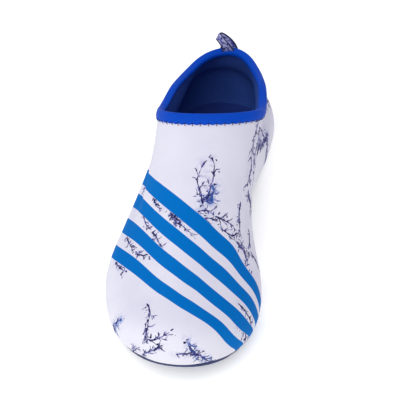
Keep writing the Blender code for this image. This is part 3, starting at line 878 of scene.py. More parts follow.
@dataclass(frozen=True)
class InkPrint:
    """The upper's print: four broad slanting stripes over loose ink twigs, as common on such jersey."""

    last: Last
    # Girth angles are measured about a line that runs along the shoe here
    girth_x: float = 3.0 * MILLIMETRE
    girth_z: float = 12.0 * MILLIMETRE

    # Girth angle in degrees (0 outer side, 90 top, 180 inner side), then where the first stripe starts and
    # the last one ends, in mm before the origin
    stripe_run: Table = (
        (-40.0, 20.0, 96.0),
        (-12.0, 36.0, 112.0),
        (10.0, 51.0, 130.0),
        (33.0, 69.0, 152.0),
        (60.0, 101.0, 171.0),
        (85.0, 122.0, 184.0),
        (105.0, 131.0, 191.0),
        (127.0, 137.0, 195.0),
        (148.0, 145.0, 194.0),
        (161.0, 148.0, 191.0),
        (181.0, 148.0, 184.0),
        (200.0, 148.0, 181.0),
        (225.0, 148.0, 179.0),
    )
    # Girth angle, then the two edges of each stripe as shares of the way from that start to that end
    stripe_edges: Table = (
        (105.0, 0.00, 0.175, 0.280, 0.435, 0.56, 0.72, 0.86, 1.00),
        (150.0, 0.00, 0.180, 0.295, 0.475, 0.62, 0.79, 0.89, 1.00),
        (181.0, 0.00, 0.180, 0.270, 0.440, 0.53, 0.68, 0.83, 1.00),
    )
    # The stripes slant, so a distance across them is shorter than one along the shoe
    slant: float = 0.8
    # Washed ink: how strong it is, and how far it spreads from its bough in mm, plainly and for its haze
    haze_strength: float = 0.75
    haze_reach: float = 1.8
    haze_spread: float = 2.0
    blue_reach: float = 2.0

    boughs: tuple[Bough, ...] = (
        # Bush on the middle of the vamp
        Bough(0.478, 0.84, 0.492, 0.91, 0.8, 5, 6.0, 0.5),
        Bough(0.470, 0.85, 0.474, 0.92, 0.7, 4, 5.0, 0.4),
        Bough(0.480, 0.85, 0.455, 0.87, 0.9, 6, 5.0, 0.7, 0.8),
        Bough(0.478, 0.85, 0.462, 0.85, 1.3, 8, 4.0, 0.9, 1.0),
        Bough(0.489, 0.83, 0.455, 0.83, 0.5, 4, 5.0, 0.3, 0.3),
        Bough(0.476, 0.82, 0.436, 0.81, 0.5, 4, 5.0, 0.2),
        Bough(0.446, 0.82, 0.400, 0.79, 0.6, 5, 6.0, 0.2),
        Bough(0.432, 0.80, 0.380, 0.75, 0.6, 4, 6.0, 0.1),
        Bough(0.376, 0.82, 0.372, 0.74, 0.7, 5, 5.0, 0.2),
        Bough(0.372, 0.73, 0.352, 0.69, 0.9, 2, 4.0, 0.1),
        # Twigs that run down the inner side of the throat
        Bough(0.352, 0.97, 0.358, 0.90, 0.7, 5, 6.0, 0.2),
        Bough(0.362, 0.90, 0.360, 0.84, 0.8, 5, 5.0, 0.2),
        Bough(0.330, 0.95, 0.338, 0.88, 0.9, 4, 5.0, 0.6),
        Bough(0.322, 0.60, 0.318, 0.46, 0.6, 4, 5.0, 0.1),
        # Between the first and the second stripe
        Bough(0.632, 0.83, 0.580, 0.82, 0.8, 8, 5.0, 0.4),
        Bough(0.548, 0.83, 0.524, 0.81, 1.7, 9, 4.5, 0.7),
        Bough(0.522, 0.81, 0.492, 0.79, 0.5, 4, 4.0, 0.2),
        # Between the second and the third stripe
        Bough(0.654, 0.75, 0.612, 0.76, 0.7, 6, 4.0, 0.3),
        Bough(0.604, 0.76, 0.566, 0.75, 0.6, 6, 4.0, 0.3),
        # Between the third and the fourth stripe
        Bough(0.684, 0.59, 0.650, 0.64, 0.6, 5, 5.0, 0.3),
        Bough(0.640, 0.66, 0.604, 0.70, 1.1, 4, 4.0, 0.2),
        # Before the last stripe, and on the toe
        Bough(0.664, 0.50, 0.638, 0.57, 0.6, 5, 4.0, 0.3),
        Bough(0.600, 0.18, 0.586, 0.40, 1.5, 7, 5.0, 0.8, 0.7),
        Bough(0.560, 0.58, 0.532, 0.46, 0.7, 6, 5.0, 0.2),
        Bough(0.534, 0.46, 0.530, 0.36, 0.8, 5, 5.0, 0.3),
        Bough(0.528, 0.38, 0.500, 0.46, 0.6, 5, 5.0, 0.2),
        Bough(0.538, 0.18, 0.506, 0.36, 1.0, 7, 5.0, 0.3),
        Bough(0.560, 0.10, 0.545, 0.26, 0.6, 5, 5.0, 0.3),
        Bough(0.478, 0.40, 0.463, 0.24, 1.0, 9, 6.0, 0.6, 0.4),
        Bough(0.492, 0.30, 0.466, 0.28, 0.8, 6, 5.0, 0.4),
        Bough(0.463, 0.28, 0.446, 0.14, 1.0, 7, 5.0, 0.6, 0.5),
        Bough(0.404, 0.44, 0.388, 0.20, 1.2, 9, 4.0, 0.5),
        Bough(0.388, 0.52, 0.378, 0.32, 0.8, 6, 4.0, 0.3),
        Bough(0.384, 0.22, 0.376, 0.12, 1.0, 6, 4.0, 0.3),
        Bough(0.354, 0.26, 0.346, 0.12, 0.9, 6, 4.0, 0.3),
        # Inner side: a heavy bough that spreads from the heel towards the throat
        Bough(0.145, 0.48, 0.192, 0.60, 2.4, 12, 9.0, 1.0),
        Bough(0.178, 0.58, 0.262, 0.72, 2.0, 9, 8.0, 0.8),
        Bough(0.248, 0.70, 0.322, 0.84, 1.8, 7, 7.0, 0.3),
        Bough(0.160, 0.58, 0.226, 0.84, 1.4, 9, 7.0, 0.7),
        Bough(0.215, 0.80, 0.290, 0.93, 1.0, 6, 7.0, 0.2),
        Bough(0.262, 0.90, 0.322, 0.93, 0.9, 5, 6.0, 0.1),
        Bough(0.150, 0.52, 0.160, 0.24, 2.0, 10, 6.0, 1.0),
        # Inner side: the cluster by the arch
        Bough(0.292, 0.70, 0.312, 0.84, 1.6, 8, 5.0, 0.6),
        Bough(0.292, 0.68, 0.340, 0.80, 1.4, 7, 7.0, 0.5),
        Bough(0.256, 0.56, 0.294, 0.68, 1.8, 9, 6.0, 0.6),
        Bough(0.262, 0.56, 0.250, 0.34, 1.2, 7, 6.0, 0.4),
        Bough(0.240, 0.50, 0.226, 0.34, 0.9, 6, 5.0, 0.2),
        Bough(0.222, 0.10, 0.256, 0.28, 1.3, 7, 6.0, 0.4),
        Bough(0.252, 0.08, 0.244, 0.30, 1.0, 6, 5.0, 0.3),
        # Inner side of the ball
        Bough(0.304, 0.10, 0.276, 0.50, 1.5, 9, 6.0, 0.7),
        Bough(0.312, 0.10, 0.304, 0.40, 2.0, 10, 6.0, 0.9, 0.9),
        Bough(0.322, 0.10, 0.336, 0.22, 1.0, 7, 5.0, 0.5),
        Bough(0.336, 0.12, 0.346, 0.26, 0.9, 5, 5.0, 0.2),
        Bough(0.312, 0.66, 0.340, 0.60, 0.8, 5, 5.0, 0.1),
        Bough(0.340, 0.62, 0.356, 0.70, 0.9, 5, 5.0, 0.1),
        Bough(0.344, 0.50, 0.352, 0.64, 0.9, 4, 4.0, 0.1),
        # Outer side and heel, which the photograph hides: the same kinds of bush and bough again
        Bough(0.820, 0.20, 0.800, 0.50, 1.3, 9, 8.0, 0.7),
        Bough(0.802, 0.46, 0.772, 0.72, 1.1, 9, 8.0, 0.5),
        Bough(0.798, 0.50, 0.836, 0.74, 1.0, 8, 7.0, 0.4),
        Bough(0.700, 0.86, 0.730, 0.72, 0.9, 8, 7.0, 0.4, 0.4),
        Bough(0.730, 0.74, 0.722, 0.58, 0.9, 7, 6.0, 0.4),
        Bough(0.905, 0.14, 0.900, 0.44, 1.3, 9, 8.0, 0.8, 0.5),
        Bough(0.900, 0.40, 0.930, 0.70, 1.0, 8, 7.0, 0.4),
        Bough(0.060, 0.16, 0.072, 0.48, 1.4, 9, 8.0, 0.8),
        Bough(0.072, 0.46, 0.040, 0.74, 1.0, 9, 8.0, 0.4),
        Bough(0.070, 0.44, 0.104, 0.66, 0.9, 8, 7.0, 0.4, 0.5),
    )

    def stripes(self, points: np.ndarray) -> np.ndarray:
        """Distance in mm inside the nearest stripe, negative outside.

        Args:
            points: points of the outer face.

        Returns:
            One number for each point.
        """
        angle = np.degrees(np.arctan2(points[:, 2] - self.girth_z, self.girth_x - points[:, 0]))
        angle = np.where(angle < -90.0, angle + 360.0, angle)
        first = smooth_column(self.stripe_run, 1, angle)
        last = smooth_column(self.stripe_run, 2, angle)
        inside = np.full(len(points), -1.0 / MILLIMETRE)
        for column in range(1, len(self.stripe_edges[0]), 2):
            start, end = (first + (last - first) * smooth_column(self.stripe_edges, edge, angle)
                          for edge in (column, column + 1))
            before = -points[:, 1] / MILLIMETRE
            inside = np.maximum(inside, np.minimum(before - start, end - before))
        return inside * self.slant

    def lay(self, bough: Bough) -> tuple[np.ndarray, np.ndarray, float]:
        """Find the plane of a bough on the upper.

        Args:
            bough: the bough.

        Returns:
            Its start point, the rows along, across and normal of its plane, and its length in mm.
        """
        start, start_normal, _ = self.last.place(bough.around, bough.ring)
        end, end_normal, _ = self.last.place(bough.to_around, bough.to_ring)
        normal = unit(start_normal + end_normal)
        chord = end - start
        along = unit(chord - normal * (chord @ normal))
        axes = np.array([along, np.cross(normal, along), normal])
        return start, axes, float(np.linalg.norm(chord)) / MILLIMETRE

    def wash(self, points: np.ndarray) -> dict[str, np.ndarray]:
        """Spread the washed ink round the boughs.

        Args:
            points: points of the outer face.

        Returns:
            Shares from 0 to 1 named haze and blue.
        """
        fields = {"haze": np.zeros(len(points)), "blue": np.zeros(len(points))}
        for bough in self.boughs:
            start, axes, length = self.lay(bough)
            offset = (points - start) / MILLIMETRE
            share = np.clip(offset @ axes[0] / length, 0.0, 1.0)
            gap = np.linalg.norm(offset - share[:, None] * length * axes[0], axis=1)
            washes = (
                ("haze", self.haze_strength * bough.haze, self.haze_reach + self.haze_spread * bough.haze),
                ("blue", bough.blue, self.blue_reach),
            )
            for name, amount, reach in washes:
                fields[name] = np.maximum(fields[name], amount * np.exp(-(gap / reach) ** 2))
        return fields


@dataclass(frozen=True)
class Stroke:
    """One ink stroke in its bough's plane, in mm: middle line, half widths, tones and share of blue."""

    line: np.ndarray
    halves: np.ndarray
    tones: np.ndarray
    blue: float


@dataclass(frozen=True)
class StrokePart:
    """Part of a stroke that shows on the jersey: points, outward normals, half widths and tones."""

    points: np.ndarray
    normals: np.ndarray
    halves: np.ndarray
    tones: np.ndarray


@dataclass(frozen=True)
class StrokeKind:
    """What a kind of side stroke is drawn from: lowest and highest value of each draw."""

    turn: Range
    length: Range
    half: Range
    tone: Range
    curl: float


# Turn from the bough in radians, shares of the bough's reach and of its half width, tone, curl
TWIG = StrokeKind((math.radians(14.0), math.radians(46.0)), (0.4, 1.0), (0.5, 0.9), (0.30, 0.95), 0.8)
# Turn from the twig in radians, length in mm, share of the bough's half width, tone, curl
SPUR = StrokeKind((0.3, 0.9), (1.2, 3.4), (0.4, 0.8), (0.15, 0.80), 0.5)
# Mean and spread of the turn from the bough, length and half width in mm, tone, curl
DAB = StrokeKind((0.0, 0.9), (1.0, 2.8), (0.3, 0.65), (0.35, 1.0), 0.8)


@dataclass
class TwigPrint:
    """Printed twigs: each ink stroke is a thin closed strip that follows the jersey's face."""

    ink_print: InkPrint
    seed: int = 11
    # The strip's top stands above the jersey's face and its underside lies below it
    film: float = 0.05 * MILLIMETRE
    sunk: float = 0.15 * MILLIMETRE
    # Strokes end where the face turns under towards the sole, and in mm from a stripe
    least_upward: float = -0.6
    stripe_gap: float = 0.1
    # Below this tone the ink has run out and leaves a gap in the stroke
    least_tone: float = 0.1
    # Distance in mm between a stroke's points, and how far its heading wanders at each, in radians
    step: float = 0.7
    wander: float = 0.09
    # Least half width in mm, and how unevenly the stroke was pressed
    least_half: float = 0.16
    press: Range = (0.6, 1.35)
    # The tone drifts by this much from one length in mm to the next, and flickers at each point
    tone_run: float = 2.2
    tone_drift: float = 0.3
    tone_flicker: float = 0.08
    # Half width of a bough's main stroke in mm: a base, and what a plain thickness adds; its tone and curl
    main_base: float = 0.25
    main_thick: float = 0.40
    main_tone: float = 0.62
    main_curl: float = 0.3
    # Fewest spurs on a twig and one more than the most
    spurs: tuple[int, int] = (1, 4)
    # Dabs round each bough, those that full haze adds, and how far they stray in mm
    dabs: int = 3
    haze_dabs: int = 20
    dab_spread: float = 1.3

    def stroke(self, start: np.ndarray, heading: float, length: float, half: float, tone: float, blue: float,
               curl: float, rng: np.random.Generator) -> Stroke:
        """Grow one tapered stroke that wanders from its heading.

        Args:
            start: start in the plane, in mm.
            heading: direction in radians.
            length: length in mm.
            half: half width at its thickest, in mm.
            tone: how dark it is, from 0 to 1.
            blue: share of blue.
            curl: how much it turns over its whole length, in radians.
            rng: random generator.

        Returns:
            The stroke.
        """
        count = max(3, int(round(length / self.step)))
        shares = np.linspace(0.0, 1.0, count + 1)
        turn = rng.normal(0.0, curl) * shares + np.cumsum(rng.normal(0.0, self.wander, count + 1))
        steps = length / count * np.stack([np.cos(heading + turn), np.sin(heading + turn)], axis=1)
        line = start + np.concatenate([np.zeros((1, 2)), np.cumsum(steps[:-1], axis=0)])
        # Full from an eighth of its length on, and drawn out to a point
        taper = np.clip(4.0 * shares + 0.5, 0.0, 1.0) * (1.0 - shares) ** 0.5
        halves = np.maximum(self.least_half, half * taper * rng.uniform(*self.press, count + 1))
        knots = max(2, int(round(length / self.tone_run)) + 1)
        drift = rng.normal(0.0, self.tone_drift, knots)
        tones = tone + np.interp(shares, np.linspace(0.0, 1.0, knots), drift)
        tones = np.clip(tones + rng.normal(0.0, self.tone_flicker, count + 1), 0.0, 1.0)
        return Stroke(line, halves, tones, blue)

    def grow(self, bough: Bough, length: float, rng: np.random.Generator) -> list[Stroke]:
        """Grow a bough with its twigs, spurs and dabs.

        Args:
            bough: the bough.
            length: its length in mm.
            rng: random generator.

        Returns:
            Its strokes.
        """
        half = self.main_base + self.main_thick * bough.thick
        main = self.stroke(np.zeros(2), 0.0, length, half, self.main_tone, 0.0, self.main_curl, rng)
        # The main stroke is turned so that it ends on the straight line to the bough's end place
        sway = np.arctan2(main.line[-1, 1], main.line[-1, 0])
        turned = np.array([[math.cos(sway), -math.sin(sway)], [math.sin(sway), math.cos(sway)]])
        main = Stroke(main.line @ turned, main.halves, main.tones, 0.0)
        strokes = [main]
        for twig in range(bough.twigs):
            at = (twig + rng.uniform(0.1, 0.9)) / bough.twigs
            base = main.line[int(at * (len(main.line) - 1))]
            heading = (1.0 if twig % 2 else -1.0) * rng.uniform(*TWIG.turn)
            reach = bough.reach * rng.uniform(*TWIG.length)
            tint = 1.0 if rng.random() < bough.blue else 0.0
            branch = self.stroke(base, heading, reach, half * rng.uniform(*TWIG.half),
                                 rng.uniform(*TWIG.tone), tint, TWIG.curl, rng)
            strokes.append(branch)
            for _ in range(rng.integers(*self.spurs)):
                joint = branch.line[rng.integers(1, len(branch.line))]
                turn = heading + rng.choice([-1.0, 1.0]) * rng.uniform(*SPUR.turn)
                strokes.append(self.stroke(joint, turn, rng.uniform(*SPUR.length),
                                           half * rng.uniform(*SPUR.half), rng.uniform(*SPUR.tone),
                                           tint, SPUR.curl, rng))
        for _ in range(int(self.dabs + self.haze_dabs * bough.haze)):
            base = main.line[rng.integers(0, len(main.line))] + rng.normal(0.0, self.dab_spread, 2)
            tint = 1.0 if rng.random() < bough.blue else 0.0
            strokes.append(self.stroke(base, rng.normal(*DAB.turn), rng.uniform(*DAB.length),
                                       rng.uniform(*DAB.half), rng.uniform(*DAB.tone), tint, DAB.curl, rng))
        return strokes

    def place(self, tree: BVHTree, start: np.ndarray, axes: np.ndarray, stroke: Stroke) -> list[StrokePart]:
        """Lay a stroke on the jersey and leave out what a stripe or the sole's edge covers.

        Args:
            tree: the jersey's face.
            start: start point of the bough's plane.
            axes: rows along, across and normal of the plane.
            stroke: the stroke.

        Returns:
            The parts that show.
        """
        flat = start + (stroke.line[:, :1] * axes[0] + stroke.line[:, 1:] * axes[1]) * MILLIMETRE
        found = [tree.find_nearest(Vector(point)) for point in flat]
        points = np.array([hit[0] for hit in found])
        normals = np.array([hit[1] for hit in found])
        shows = self.ink_print.stripes(points) < -self.stripe_gap
        shows &= normals[:, 2] > self.least_upward
        shows &= stroke.tones > self.least_tone
        parts = []
        first = None
        for place, visible in enumerate(np.append(shows, False)):
            if visible and first is None:
                first = place
            elif not visible and first is not None:
                if place - first > 1:
                    run = slice(first, place)
                    sides = stroke.halves[run] * MILLIMETRE
                    parts.append(StrokePart(points[run], normals[run], sides, stroke.tones[run]))
                first = None
        return parts

    def strip(self, part: StrokePart) -> np.ndarray:
        """Give a part of a stroke its width and its thin body.

        Args:
            part: the part.

        Returns:
            Four corner points for each point of the part.
        """
        side = unit(np.cross(part.normals, np.gradient(part.points, axis=0))) * part.halves[:, None]
        top = part.normals * self.film
        bottom = part.normals * -self.sunk
        corners = (side + top, -side + top, -side + bottom, side + bottom)
        return np.stack([part.points + corner for corner in corners], axis=1)

    def build(self, face_points: np.ndarray, faces: Sequence[Sequence[int]]) -> bpy.types.Object:
        """Build and dress all strokes as one piece.

        Args:
            face_points: points of the jersey's face.
            faces: its faces.

        Returns:
            The piece.
        """
        rng = np.random.default_rng(self.seed)
        tree = BVHTree.FromPolygons([tuple(point) for point in face_points], faces)
        corners = 4
        points, quads, tones, blues = [], [], [], []
        for bough in self.ink_print.boughs:
            start, axes, length = self.ink_print.lay(bough)
            for stroke in self.grow(bough, length, rng):
                for part in self.place(tree, start, axes, stroke):
                    rings = self.strip(part)
                    first = len(points) * corners
                    last = (len(rings) - 1) * corners
                    strip = ring_faces(len(rings), corners, closed=False)
                    strip += [(3, 2, 1, 0), (last, last + 1, last + 2, last + 3)]
                    quads += [tuple(first + corner for corner in face) for face in strip]
                    points += list(rings)
                    tones += list(np.repeat(part.tones, corners))
                    blues += [stroke.blue] * len(rings) * corners
        piece = make_piece("printed_twigs", np.array(points), quads, [DyedInk().make()])
        set_attribute(piece, "tone", np.array(tones))
        set_attribute(piece, "blue", np.array(blues))
        return piece


@dataclass
class Upper:
    """Hollow upper: printed outer face, collar rim and navy lining in one closed mesh."""

    last: Last
    ink_print: InkPrint
    meridians: int = 420
    rings: int = 150
    lining_rings: int = 40
    # Length round the feather edge, for the knit's scale
    girth: float = 0.58
    # Points that a crease's line is followed by
    crease_points: int = 9

    # Start and end place of each crease, its depth and half width in mm; a negative depth is a ridge
    creases: Table = (
        (0.30, 0.90, 0.34, 0.72, 0.5, 7.0),
        (0.34, 0.93, 0.38, 0.80, 0.4, 6.0),
        (0.66, 0.92, 0.62, 0.78, 0.4, 7.0),
        (0.70, 0.84, 0.73, 0.60, 0.2, 10.0),
        (0.22, 0.70, 0.27, 0.40, 0.5, 9.0),
        (0.42, 0.80, 0.47, 0.70, 0.4, 9.0),
        (0.54, 0.80, 0.60, 0.70, -0.3, 9.0),
        (0.90, 0.60, 0.94, 0.80, 0.4, 8.0),
        (0.08, 0.60, 0.05, 0.80, 0.4, 8.0),
    )

    def crease_depth(self, points: np.ndarray) -> np.ndarray:
        """Add up what the creases press into the outer face.

        Args:
            points: points of the outer face.

        Returns:
            Depth in metres at each point.
        """
        depth = np.zeros(len(points))
        shares = np.linspace(0.0, 1.0, self.crease_points)
        for around, ring, to_around, to_ring, deep, half_width in self.creases:
            path = np.array([self.last.place(around + (to_around - around) * share,
                                             ring + (to_ring - ring) * share)[0] for share in shares])
            gap = np.min(np.linalg.norm(points[:, None, :] - path[None], axis=2), axis=1)
            depth += deep * MILLIMETRE * np.exp(-(gap / (half_width * MILLIMETRE)) ** 2)
        return depth

    def outer_face(self) -> tuple[np.ndarray, np.ndarray, list[Quad]]:
        """Work out the outer face with its creases.

        Returns:
            Points before and after the creases, one row per ring, and the faces between them.
        """
        around = np.arange(self.meridians) / self.meridians
        points, normals, _ = self.last.surface_frame(around, np.linspace(0.0, 1.0, self.rings))
        depth = self.crease_depth(points.reshape(-1, 3)).reshape(points.shape[:2])
        pressed = points - normals * depth[..., None]
        return points, pressed, ring_faces(self.rings, self.meridians, closed=False)

    def build(self) -> bpy.types.Object:
        """Build and dress the upper.

        Returns:
            The piece.
        """
        around = np.arange(self.meridians) / self.meridians
        plain, pressed, _ = self.outer_face()
        lining_places = np.linspace(1.0, 0.0, self.lining_rings)
        inner_points, inner_normals, _ = self.last.surface_frame(around, lining_places)
        rings = np.concatenate([pressed, inner_points - inner_normals * self.last.wall])
        faces = ring_faces(len(rings), self.meridians, closed=True)
        piece = make_piece("upper_fabric", rings, faces,
                           [PrintedJersey().make(), LINING.make()], ["upper"])
        kinds = np.zeros(len(faces), int)
        kinds[(self.rings - 1) * self.meridians:] = 1
        piece.data.polygons.foreach_set("material_index", kinds)
        set_uv(piece, wrap_uv(rings, around * self.girth), seam=self.girth)
        flat = plain.reshape(-1, 3)
        fields = {"stripe": self.ink_print.stripes(flat), **self.ink_print.wash(flat)}
        rest = self.lining_rings * self.meridians
        for name, values in fields.items():
            set_attribute(piece, name, np.concatenate([values, np.full(rest, values.min())]))
        return piece


@dataclass
class CollarTape:
    """Elastic tape folded over the collar's edge, with the stitches that show under its lower edge."""

    last: Last
    thickness: float = 1.0 * MILLIMETRE
    outside: float = 6.0 * MILLIMETRE
    inside: float = 2.8 * MILLIMETRE
    stitch_pitch: float = 4.7 * MILLIMETRE
    scallop: float = 0.3 * MILLIMETRE
    stitch_length: float = 1.1 * MILLIMETRE
    stitch_radius: float = 0.24 * MILLIMETRE
    stitch_sides: int = 8
    # How much fuller the tape is in its middle
    fullness: float = 0.25 * MILLIMETRE
    # Share of the thickness that is left at the sewn edge, and how fast it grows from there
    edge_share: float = 0.45
    edge_growth: float = 2.2
    # The underside is sunk into the cloth, so that no light shows between them
    sunk: float = 0.3 * MILLIMETRE
    meridians: int = 480
    lines: int = 7
    fold_steps: int = 9

    # Share of a stitch's length past the tape's edge, height above the face in mm, share of its radius
    stitch_profile: Table = (
        (-0.5, 1.20, 0.6),
        (-0.1, 0.90, 1.0),
        (0.3, 0.50, 1.0),
        (0.7, 0.35, 0.9),
        (1.0, 0.00, 0.3),
    )

    def edge_run(self, around: np.ndarray) -> np.ndarray:
        """Length along the collar's edge from the heel to each place around, and all round."""
        return run_along(self.last.collar_edge(np.append(around, around[0] + 1.0)))

    def thick(self, share: float) -> float:
        """Tape's thickness at a share of the way down: thin at the sewn edge, full in the middle."""
        thinned = min(1.0, self.edge_share + self.edge_growth * (1.0 - share))
        return self.thickness * thinned + self.fullness * math.sin(math.pi * share)

    def build_tape(self) -> bpy.types.Object:
        """Build the tape with a rounded fold, and a lower edge that the stitches pull into scallops.

        Returns:
            The piece.
        """
        wall, near = self.last.wall, self.last.clearance
        around = np.arange(self.meridians) / self.meridians
        run = self.edge_run(around)
        turns = round(run[-1] / self.stitch_pitch)
        wave = np.cos(2.0 * math.pi * turns * run[:-1] / run[-1])
        shares = np.linspace(1.0, 0.0, self.lines)
        out_down = shares[:, None] * (self.outside + self.scallop * wave)[None, :]
        in_down = shares[::-1, None] * np.full((1, self.meridians), self.inside)
        out_points, out_normals = self.last.below_collar(around, out_down)
        in_points, in_normals = self.last.below_collar(around, in_down)
        outer, inner = [], []
        for line, share in enumerate(shares):
            outer.append(out_points[line] + out_normals[line] * (near + self.thick(share)))
            back = wall + near + self.thick(shares[::-1][line])
            inner.append(in_points[line] - in_normals[line] * back)
        fold = []
        rim, normals, tangents = (item[0] for item in self.last.surface_frame(around, np.array([1.0])))
        half = wall / 2.0
        for turn in np.linspace(0.0, math.pi, self.fold_steps)[1:-1]:
            out = math.cos(turn) * (half + near + self.thickness) - half
            fold.append(rim + tangents * math.sin(turn) * (near + self.thickness) + normals * out)
        ends = (self.lines - 1, 0)
        under_in = [in_points[line] - in_normals[line] * (wall - self.sunk) for line in ends]
        under_out = [out_points[line] - out_normals[line] * self.sunk for line in ends]
        rings = np.array(outer + fold + inner + under_in + under_out)
        piece = make_piece("collar_tape", rings, ring_faces(len(rings), self.meridians, closed=True),
                           [BINDING_TAPE.make()], ["collar_binding"])
        set_uv(piece, wrap_uv(rings, run[:-1]), seam=float(run[-1]))
        return piece

    def build_stitches(self) -> bpy.types.Object:
        """Build the short stitches that come out from under the tape's lower edge on to the jersey.

        Returns:
            The piece.
        """
        sides, rows = self.stitch_sides, len(self.stitch_profile)
        middle = rows // 2
        downs, rises, sizes = np.array(self.stitch_profile).T
        fine = np.arange(self.meridians * 2) / (self.meridians * 2)
        run = self.edge_run(fine)
        turns = round(run[-1] / self.stitch_pitch)
        wanted = (np.arange(turns) + 0.5) / turns * run[-1]
        around = np.interp(wanted, run, np.append(fine, 1.0))
        distances = downs * self.stitch_length + self.outside
        points, normals = self.last.below_collar(around, np.repeat(distances[:, None], turns, axis=1))
        angles = np.arange(sides) / sides * 2.0 * math.pi
        tube = ring_faces(rows, sides, closed=False)
        tube += [tuple(range(sides))[::-1], tuple(range((rows - 1) * sides, rows * sides))]
        stitches, faces = [], []
        for stitch in range(turns):
            centre = points[:, stitch] + normals[:, stitch] * rises[:, None] * MILLIMETRE
            down = unit(centre[-1] - centre[0])
            side = unit(np.cross(down, normals[middle, stitch]))
            round_it = np.cos(angles)[:, None] * side + np.sin(angles)[:, None] * np.cross(side, down)
            first = stitch * sides * rows
            radii = sizes * self.stitch_radius
            stitches.append([centre[row] + round_it * radii[row] for row in range(rows)])
            faces += [tuple(first + corner for corner in face) for face in tube]
        shapes = np.array(stitches)
        piece = make_piece("binding_stitches", shapes, faces, [THREAD.make()])
        set_uv(piece, shapes.reshape(-1, 3)[:, 1:])
        return piece


@dataclass
class PullLoop:
    """Printed ribbon, folded into a leaning loop whose ends are sewn in under the tape at the heel."""

    last: Last
    width: float = 9.5 * MILLIMETRE
    height: float = 12.5 * MILLIMETRE
    thickness: float = 0.7 * MILLIMETRE
    leg: float = 4.5 * MILLIMETRE
    # Inside the shoe the ribbon ends under the tape
    inner_leg: float = 2.2 * MILLIMETRE
    # Each leg meets the loop this far below the rim
    leg_end: float = 0.45 * MILLIMETRE
    leg_lines: int = 6
    lean: float = 6.5 * MILLIMETRE
    lean_power: float = 1.5
    twist: float = math.radians(24)
    # Half gap between the two layers where they leave the tape, and how much it opens higher up
    base_gap: float = 0.5 * MILLIMETRE
    opening: float = 2.2 * MILLIMETRE
    # The loop stands a little towards the outside, so that the tape covers its foot
    outwards: float = 1.2 * MILLIMETRE
    columns: int = 17
    turns: int = 49
    # Stretch of the collar's edge, in places around, that the ribbon is laid out on
    laid_on: float = 0.08
    laid_steps: int = 161

    def layer(self, extra: float) -> list[np.ndarray]:
        """Lines of one face of the ribbon, from its outer end over the top to its inner end.

        Args:
            extra: distance outwards from the ribbon's inner face.

        Returns:
            One array of points for each line across the ribbon.
        """
        across = np.linspace(-self.width / 2.0, self.width / 2.0, self.columns)
        places = np.linspace(-self.laid_on, self.laid_on, self.laid_steps)
        run = run_along(self.last.collar_edge(places))
        around = np.interp(across, run - run[len(run) // 2], places)
        rim, normals, tangents = (item[0] for item in self.last.surface_frame(around, np.array([1.0])))
        half_wall = self.last.wall / 2.0
        legs = []
        for reach in (self.leg, self.inner_leg):
            distances = np.linspace(reach, self.leg_end, self.leg_lines)
            legs.append(self.last.below_collar(around, np.repeat(distances[:, None], self.columns, axis=1)))
        (leg_points, leg_normals), (inner_points, inner_normals) = legs
        sideways = unit(rim[-1] - rim[0])
        half_base = half_wall + self.base_gap + extra
        lines = list(leg_points + leg_normals * (half_base - half_wall + self.outwards))
        for turn in np.linspace(0.0, math.pi, self.turns):
            rise = math.sin(turn)
            out = math.cos(turn) * (half_base + self.opening * rise)
            angle = self.twist * rise
            shift = across * (math.cos(angle) - 1.0) - out * math.sin(angle)
            shift = shift - self.lean * rise ** self.lean_power
            depth = out * math.cos(angle) + across * math.sin(angle) - half_wall + self.outwards
            lines.append(rim + tangents * rise * (self.height + extra) + normals * depth[:, None]
                         + sideways * shift[:, None])
        return lines + list((inner_points - inner_normals * (half_base + half_wall - self.outwards))[::-1])

    def build(self) -> bpy.types.Object:
        """Build and dress the ribbon.

        Returns:
            The piece.
        """
        lines = np.array(self.layer(0.0) + self.layer(self.thickness)[::-1])
        count, size = len(lines), self.columns
        faces = []
        for line in range(count):
            here = line * size
            after = (line + 1) % count * size
            for step in range(size - 1):
                faces.append((here + step, here + step + 1, after + step + 1, after + step))
        # The two long edges between the ribbon's faces
        for line in range(count // 2 - 1):
            opposite = count - 1 - line
            for step, order in ((0, 1), (size - 1, -1)):
                corners = (line, line + 1, opposite - 1, opposite)
                faces.append(tuple(corner * size + step for corner in corners)[::order])
        piece = make_piece("ribbon_loop", lines, faces, [PrintedRibbon().make()],
                           ["pull_loop"])
        across = np.linspace(-self.width / 2.0, self.width / 2.0, size)
        length = run_along(lines[:, size // 2])
        uv = np.stack(np.broadcast_arrays(across, length[:, None]), axis=-1)
        set_uv(piece, uv.reshape(-1, 2))
        shares = np.abs(across) / (self.width / 2.0)
        set_attribute(piece, "across", np.broadcast_to(shares, (count, size)))
        return piece


@dataclass(frozen=True)
class SoftLight:
    """Round area light, aimed at the shoe: its place, diameter in metres and power in watts."""

    name: str
    place: Place
    size: float
    power: float


